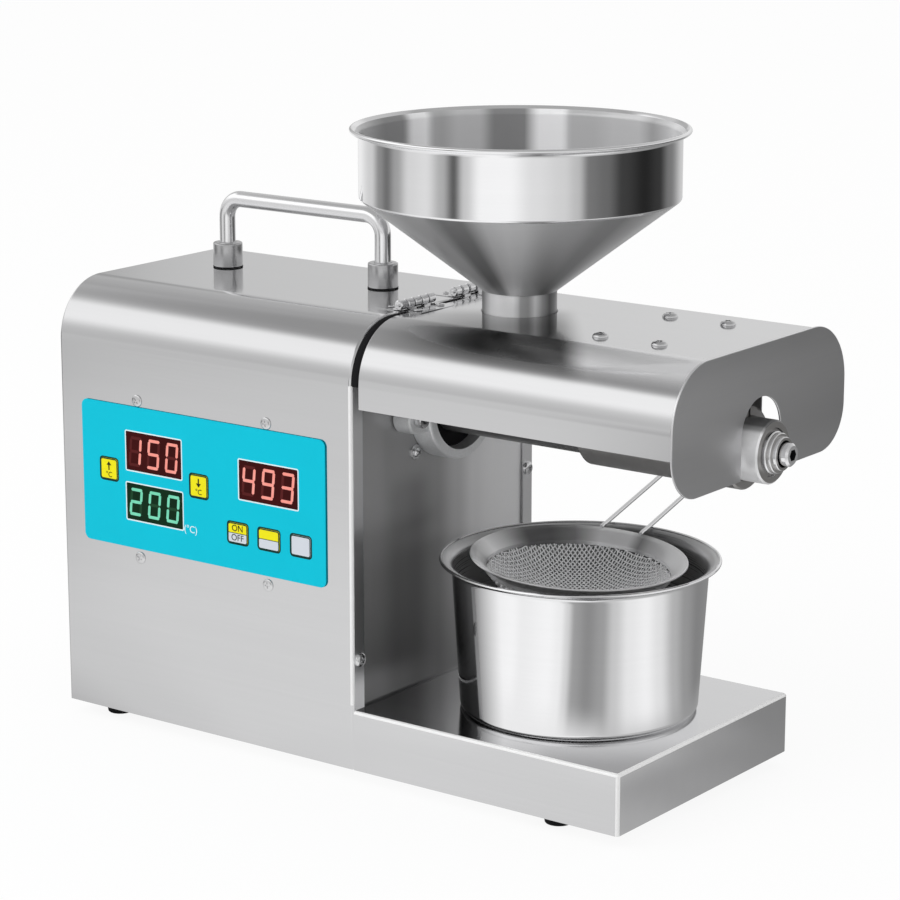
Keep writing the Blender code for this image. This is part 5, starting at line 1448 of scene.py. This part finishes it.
class OILPRESS_OT_strainer(bpy.types.Operator):
    """Rolls the strainer's band, weaves its bowl and bends its wire handle"""

    bl_idname = "oilpress.strainer"
    bl_label = "Strainer"

    def execute(self, context):
        rim, mouth, band = 0.060, 0.051, 0.006
        outer = turn_arc((rim - 0.0007, 0.0), 0.0007, 100, -90, 6)
        outer += [(rim - 0.0022, -0.0009), (rim - 0.0035, -0.0014)]
        outer += [(mouth + 0.0012, -band + 0.0008), (mouth + 0.0006, -band), (mouth + 0.0006, -0.008)]
        inner = [(mouth - 0.0002, -0.008), (mouth - 0.0002, -band + 0.0002)]
        inner += [(mouth + 0.0004, -band + 0.0012), (rim - 0.0040, -0.0006), (rim - 0.0024, 0.0)]
        bm = form(lathe, outer + inner, (0, 0, 0), steps=press().turning_steps)
        bmesh.ops.transform(bm, matrix=STRAINER_FRAME, verts=bm.verts)
        piece("strainer_hoop", bm, "spun_band", "strainer", ["strainer_band"], 28)

        name = "strainer_weave"
        bowl = grown_by_nodes(name, bpy.data.meshes.new(name), *weave_tree(), {
            "Mouth radius": 0.0505,
            "Depth": 0.026,
            "Spacing": press().weave_spacing,
            "Wire": press().weave_wire,
            "Material": finish("woven_wire"),
        })
        turned = Matrix.Rotation(math.radians(-18), 4, "Z")
        bowl.data.transform(TO_FRAME @ STRAINER_FRAME @ Matrix.Translation((0, 0, -0.0078)) @ turned)
        dress(bowl, "strainer", ["strainer_mesh"])

        half, reach, rise = 0.0121, 0.1147, math.tan(math.radians(7.7))
        radius = 0.00125
        level = radius + 0.0009
        end = rim + reach - half
        line = [(-half, rim - 0.0045, level - 0.0008), (-half, rim - 0.002, level)]
        line += [(-half, rim + 0.001, level), (-half, end, level + (end - rim) * rise)]
        for k in range(1, 16):
            angle = math.pi - math.pi * k / 16
            y = end + half * math.sin(angle)
            line.append((half * math.cos(angle), y, level + (y - rim) * rise))
        line += [(half, end, level + (end - rim) * rise), (half, rim + 0.001, level)]
        line += [(half, rim - 0.002, level), (half, rim - 0.0045, level - 0.0008)]
        bm = form(tube, line, radius, 14)
        bmesh.ops.transform(bm, matrix=STRAINER_FRAME, verts=bm.verts)
        piece("strainer_wire", bm, "polished_rod", "strainer", ["strainer_handle"])
        return {"FINISHED"}


def screw_tree():
    """Node tree that puts one head on each seat, turned to face the way the seat does."""
    tree, given, sockets = group_tree("screw_set", (
        ("Head", "Object", None),
        ("Head radius", "Float", 0.0031),
        ("Seed", "Int", 7),
        ("Material", "Material", None),
    ))
    way = tree.add("GeometryNodeInputNamedAttribute", {"data_type": "FLOAT_VECTOR"}, {"Name": "facing"})
    turn = tree.add("FunctionNodeAlignRotationToVector", {"axis": "Z"}, {"Vector": way})
    chance = tree.add(
        "FunctionNodeRandomValue", {"data_type": "FLOAT"},
        {"Min": 0.0, "Max": 1.5, "Seed": given.other("Seed")}, "Value",
    )
    spin = tree.add("ShaderNodeCombineXYZ", None, {"X": 0.0, "Y": 0.0, "Z": chance})
    spin = tree.add("FunctionNodeEulerToRotation", None, {"Euler": spin})
    both = tree.add(
        "FunctionNodeRotateRotation", {"rotation_space": "LOCAL"}, {"Rotation": turn, "Rotate By": spin}
    )
    head = tree.add(
        "GeometryNodeObjectInfo", {"transform_space": "ORIGINAL"},
        {"Object": given.other("Head")}, "Geometry",
    )
    points = tree.add("GeometryNodeMeshToPoints", None, {"Mesh": given.other("Geometry")})
    radius = given.other("Head radius")
    size = tree.add("ShaderNodeCombineXYZ", None, {"X": radius, "Y": radius, "Z": radius})
    put = tree.add(
        "GeometryNodeInstanceOnPoints", None,
        {"Points": points, "Instance": head, "Rotation": both, "Scale": size},
    )
    give_out(tree, given, tree.add("GeometryNodeRealizeInstances", None, {"Geometry": put}))
    return tree.tree, sockets


def screw_head(name, rise, head=1.0):
    """A cross-recessed head that faces +Z, on a washer of radius 1 where the head is smaller."""
    foot = 0.06
    profile = [(0, -0.02), (0.97, -0.02), (1.0, 0.02), (1.0, foot)]
    if head < 1:
        foot = 0.30
        profile += [(0.97, 0.22), (0.93, 0.24), (head, 0.24), (head, foot)]
    for k in range(1, 7):
        angle = math.radians(90 * k / 6)
        across = math.cos(angle) ** 0.6 if k < 6 else 0
        profile.append((head * across, foot + (rise - foot) * math.sin(angle)))
    bm = form(lathe, profile, (0, 0, 0), steps=20)
    item = link(name, mesh_from(bm, name, Matrix.Identity(4)))
    cross = bmesh.new()
    for long_way, wide in ((0.5 * head, 0.12 * head), (0.12 * head, 0.5 * head)):
        box(cross, (-long_way, -wide, rise * 0.45), (long_way, wide, rise + 0.5))
    carve(item, cross, place=Matrix.Identity(4), sharp=40, crossing=True)
    return item


class OILPRESS_OT_screws(bpy.types.Operator):
    """Drives the small screws of the panel, hood, flanges, hinges and end panel"""

    bl_idname = "oilpress.screws"
    bl_label = "Screws"

    def execute(self, context):
        group, sockets = screw_tree()
        flat = screw_head("flat_head", 0.28)
        domed = screw_head("domed_head", 0.54)
        washer_head = screw_head("washer_head", 0.75, 0.62)
        size = press().screw_head
        front, right, left, up = (0, -1, 0), (1, 0, 0), (-1, 0, 0), (0, 0, 1)
        flange = HOUSING_LENGTH
        hinge_y = [MIDDLE_Y + s * 0.025 + d for s in (-1, 1) for d in (-0.010, 0.0, 0.010)]
        sets = {
            "panel_screws": ("housing", flat, size * 1.15, [
                ((x, 0.0, z), front) for x in (0.059, 0.154) for z in (0.0956, 0.1876)
            ]),
            "flange_screws": ("housing", domed, size * 1.35, [
                ((flange, 0.0062, 0.062), right),
                ((flange, 0.1638, 0.1388), right),
                ((flange, 0.1638, 0.062), right),
            ]),
            "end_panel_screws": ("housing", flat, size, [
                ((0.0, y, z), left) for y in (0.0055, 0.1645) for z in (0.030, 0.120, 0.205)
            ]),
            "drive_bolts": ("housing", washer_head, size * 1.45, [
                ((0.2119, MIDDLE_Y + i * 0.0265, AXIS_Z + j * 0.0253), right)
                for i in (-1, 1) for j in (-1, 1)
            ]),
            "hood_screws": ("hood", domed, size * 1.38, [
                ((x, MIDDLE_Y + s * 0.0335, HEIGHT), up) for x in (0.339, 0.3754) for s in (-1, 1)
            ]),
            "hood_hinge_screws": ("hood", flat, 0.0026, [
                ((0.2208, y, 0.2507), up) for y in hinge_y[::2]
            ]),
            "housing_hinge_screws": ("housing", flat, 0.0019, [
                ((0.2025, y, 0.2507), up) for y in hinge_y
            ]),
        }
        for number, (name, (body, head, radius, seats)) in enumerate(sets.items()):
            mesh = bpy.data.meshes.new(name)
            mesh.from_pydata([CORNER + Vector(spot) for spot, _ in seats], [], [])
            ways = mesh.attributes.new("facing", "FLOAT_VECTOR", "POINT")
            for item, (_, way) in zip(ways.data, seats):
                item.vector = way
            done = grown_by_nodes(name, mesh, group, sockets, {
                "Head": head,
                "Head radius": radius,
                "Seed": 7 + number,
                "Material": finish("bright_fixings"),
            })
            dress(done, body, ())
        for head in (flat, domed, washer_head):
            bpy.data.objects.remove(head, do_unlink=True)
        return {"FINISHED"}


class OILPRESS_OT_inner_parts(bpy.types.Operator):
    """Finishes the walls, drive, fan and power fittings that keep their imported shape"""

    bl_idname = "oilpress.inner_parts"
    bl_label = "Inner parts"

    def execute(self, context):
        looks = {
            "wall_brushed": ("partition_wall",),
            "brushed_sheet": ("left_end_panel",),
            "inner_steel": ("motor_cradle", "output_shaft", "drive_coupling", "shaft_bearing"),
            "cast_metal": ("gearbox_case", "bearing_block"),
            "motor_paint": ("motor_body",),
            "black_plastic": (
                "fan_frame", "fan_rotor", "power_inlet", "switch_frame", "switch_rocker",
            ),
        }
        for look, names in looks.items():
            for name in names:
                dress_node(name, look)
        return {"FINISHED"}


class OILPRESS_OT_stage(bpy.types.Operator):
    """Sets the pale floor, the studio's light and the camera"""

    bl_idname = "oilpress.stage"
    bl_label = "Stage"

    def execute(self, context):
        self.floor()
        self.world(context.scene)
        self.camera(context.scene)
        return {"FINISHED"}

    def bearing(self, tree, place, centre=(0.0, 0.0)):
        """A place's bearing, distance and height, seen from the press."""
        parts = tree.parts(place)
        x, y = parts - centre[0], parts.other("Y") - centre[1]
        forward = x * TOWARD.x + y * TOWARD.y
        side = x * ACROSS.x + y * ACROSS.y
        angle = tree.math("ARCTAN2", side, forward) / (2 * math.pi) + 0.5
        return angle, tree.math("SQRT", x * x + y * y), parts.other("Z")

    def floor(self):
        made = Finish("studio_floor")
        angle, distance, _ = self.bearing(made, made.place(), (0.06, -0.043))
        near = made.grey(angle, by_degrees([
            (-180, 0.40), (-128, 0.45), (-112, 0.60), (-100, 0.85), (-90, 0.92), (-78, 0.93),
            (-55, 1.0), (-45, 0.93), (-22, 1.0), (-13, 0.93), (-8, 0.72), (-2, 0.36), (8, 0.28),
            (19, 0.36), (28, 0.62), (40, 0.87), (54, 0.96), (66, 0.82), (82, 0.48), (96, 0.33),
            (118, 0.24), (150, 0.26), (180, 0.40),
        ]))
        close = made.grey(angle, by_degrees([
            (-180, 0.5), (-120, 0.6), (-95, 0.88), (-60, 0.92), (10, 0.9), (30, 0.56), (60, 0.45),
            (100, 0.34), (140, 0.34), (180, 0.5),
        ]))
        middle = made.grey(angle, by_degrees([
            (-180, 0.60), (-120, 0.45), (-100, 0.62), (-84, 0.84), (-66, 0.84), (-50, 0.42),
            (-38, 0.80), (-20, 1.0), (0, 0.75), (20, 0.62), (40, 0.60), (55, 0.50), (75, 0.40),
            (98, 0.31), (115, 0.28), (150, 0.35), (180, 0.60),
        ]))
        far = made.grey(angle, by_degrees([
            (-180, 0.80), (-157, 0.90), (-130, 0.66), (-117, 0.28), (-108, 0.17), (-97, 0.38),
            (-84, 0.72), (-70, 0.78), (-57, 0.46), (-48, 0.11), (-40, 0.62), (-28, 0.99),
            (-10, 1.0), (8, 0.79), (28, 0.69), (38, 0.55), (47, 0.19), (60, 0.15), (74, 0.05),
            (95, 0.02), (112, 0.04), (128, 0.20), (157, 0.61), (180, 0.80),
        ]))
        near = made.blend(made.step(distance, 0.15, 0.22), close, near)
        level = made.blend(made.step(distance, 0.45, 0.85), near, middle)
        level = made.blend(made.step(distance, 1.0, 1.35), level, far)
        path = made.add("ShaderNodeLightPath", None, None, "Is Camera Ray")
        shown = made.math("MAXIMUM", path, path.other("Is Transmission Ray"))
        glossy = path.other("Is Glossy Ray")
        seen = made.math("MAXIMUM", shown, glossy)
        level = made.blend(glossy, 0.90, level)
        glow = made.add("ShaderNodeEmission", None, {"Color": made.colour(level, level, level)})
        faint = made.add("ShaderNodeBsdfDiffuse", None, {"Color": (0.10, 0.10, 0.10, 1)})
        pale = made.add("ShaderNodeBsdfDiffuse", None, {"Color": (0.82, 0.82, 0.82, 1)})
        lit_floor = made.add("ShaderNodeAddShader", None, {0: glow, 1: faint})
        card = made.add("ShaderNodeMixShader", None, {0: glossy, 1: lit_floor, 2: glow})
        both = made.add("ShaderNodeMixShader", None, {0: seen, 1: pale, 2: card})
        made.add("ShaderNodeOutputMaterial", None, {"Surface": both})
        rim = [(x, y, 0.0) for x, y in turn_arc((0, 0), 12.0, 0, 354, 59)]
        mesh = bpy.data.meshes.new("studio_floor")
        mesh.from_pydata(rim, [], [list(range(len(rim)))])
        mesh.materials.append(made.material)
        link("studio_floor", mesh)

    def world(self, scene):
        scene.world = bpy.data.worlds.new("studio")
        scene.world.use_nodes = True
        tree = Tree(scene.world.node_tree)
        way = tree.add("ShaderNodeTexCoord", None, None, "Generated")
        angle, flat, up = self.bearing(tree, way)
        rise = tree.math("ARCTAN2", up, flat) * (180 / math.pi)
        base = tree.grey((rise + 10) / 100, [
            (0.0, 0.66), (0.12, 0.68), (0.22, 0.76), (0.26, 0.74), (0.34, 0.60), (0.45, 0.56),
            (0.56, 0.50), (0.61, 0.40), (0.66, 0.42), (1.0, 0.42),
        ])
        behind = tree.grey(angle, by_degrees([
            (-180, 0.97), (-176, 0.91), (-174.6, 0.88), (-173.4, 0.60), (-166, 0.60), (-150, 0.85),
            (-130, 1.0), (165, 1.06), (174, 1.06), (180, 0.97),
        ]), "LINEAR")
        base = base * tree.blend(tree.step(rise, 18, 26), behind, 1.0)
        degrees = (angle - 0.5) * 360
        box_side = tree.step(degrees, -152, -128) * (1 - tree.step(degrees, -48, -26))
        box_up = tree.step(rise, 9, 24) * (1 - tree.step(rise, 40, 48))
        window = box_side * box_up
        level = tree.blend(window, base, 1.22)
        path = tree.add("ShaderNodeLightPath", None, None, "Is Camera Ray")
        shown = tree.math("MAXIMUM", path, path.other("Is Transmission Ray"))
        level = tree.blend(path.other("Is Glossy Ray"), 0.80, level)
        level = tree.blend(shown, level, 1.0)
        light = tree.add("ShaderNodeBackground", None, {"Color": tree.colour(level, level, level)})
        tree.add("ShaderNodeOutputWorld", None, {"Surface": light})
        lamp = bpy.data.lights.new("key", "AREA")
        lamp.shape = "RECTANGLE"
        lamp.size, lamp.size_y = 2.4, 1.6
        lamp.energy = 32
        key = link("key", lamp)
        key.location = (-0.9, -2.4, 2.2)
        key.rotation_euler = (Vector((0, 0, 0.1)) - key.location).to_track_quat("-Z", "Y").to_euler()
        key.visible_glossy = False

    def camera(self, scene):
        lens = bpy.data.cameras.new("camera")
        lens.lens = 123.0
        lens.sensor_width = 36.0
        lens.clip_start, lens.clip_end = 0.05, 60.0
        eye = link("camera", lens)
        turn = Matrix(
            (
                (0.80229, -0.13986, 0.58031),
                (0.59693, 0.18797, -0.77996),
                (0.0, 0.97216, 0.23429),
            )
        ).to_4x4()
        eye.matrix_world = Matrix.Translation(CORNER + Vector((1.21387, -1.25568, 0.56793))) @ turn
        scene.camera = eye
        scene.view_settings.view_transform = "Standard"


STEPS = (
    OILPRESS_OT_stage,
    OILPRESS_OT_housing,
    OILPRESS_OT_platform,
    OILPRESS_OT_panel,
    OILPRESS_OT_carry_handle,
    OILPRESS_OT_hinges,
    OILPRESS_OT_hood,
    OILPRESS_OT_press_head,
    OILPRESS_OT_hopper,
    OILPRESS_OT_pot,
    OILPRESS_OT_strainer,
    OILPRESS_OT_screws,
    OILPRESS_OT_inner_parts,
)


class OILPRESS_PT_sidebar(bpy.types.Panel):
    """Lists the press's sizes, colours and steps"""

    bl_idname = "OILPRESS_PT_sidebar"
    bl_label = "Oil press"
    bl_space_type = "VIEW_3D"
    bl_region_type = "UI"
    bl_category = "Oil press"

    def draw(self, context):
        sizes = context.scene.oil_press_sizes
        for name in OilPressSizes.__annotations__:
            self.layout.prop(sizes, name)
        for step in STEPS:
            self.layout.operator(step.bl_idname)


CLASSES = (OilPressSizes, *STEPS, OILPRESS_PT_sidebar)


def register():
    for item in CLASSES:
        bpy.utils.register_class(item)
    bpy.types.Scene.oil_press_sizes = bpy.props.PointerProperty(type=OilPressSizes)


def unregister():
    del bpy.types.Scene.oil_press_sizes
    for item in reversed(CLASSES):
        bpy.utils.unregister_class(item)


def main():
    register()
    for step in STEPS:
        category, name = step.bl_idname.split(".")
        getattr(getattr(bpy.ops, category), name)()


if __name__ == "__main__":
    main()
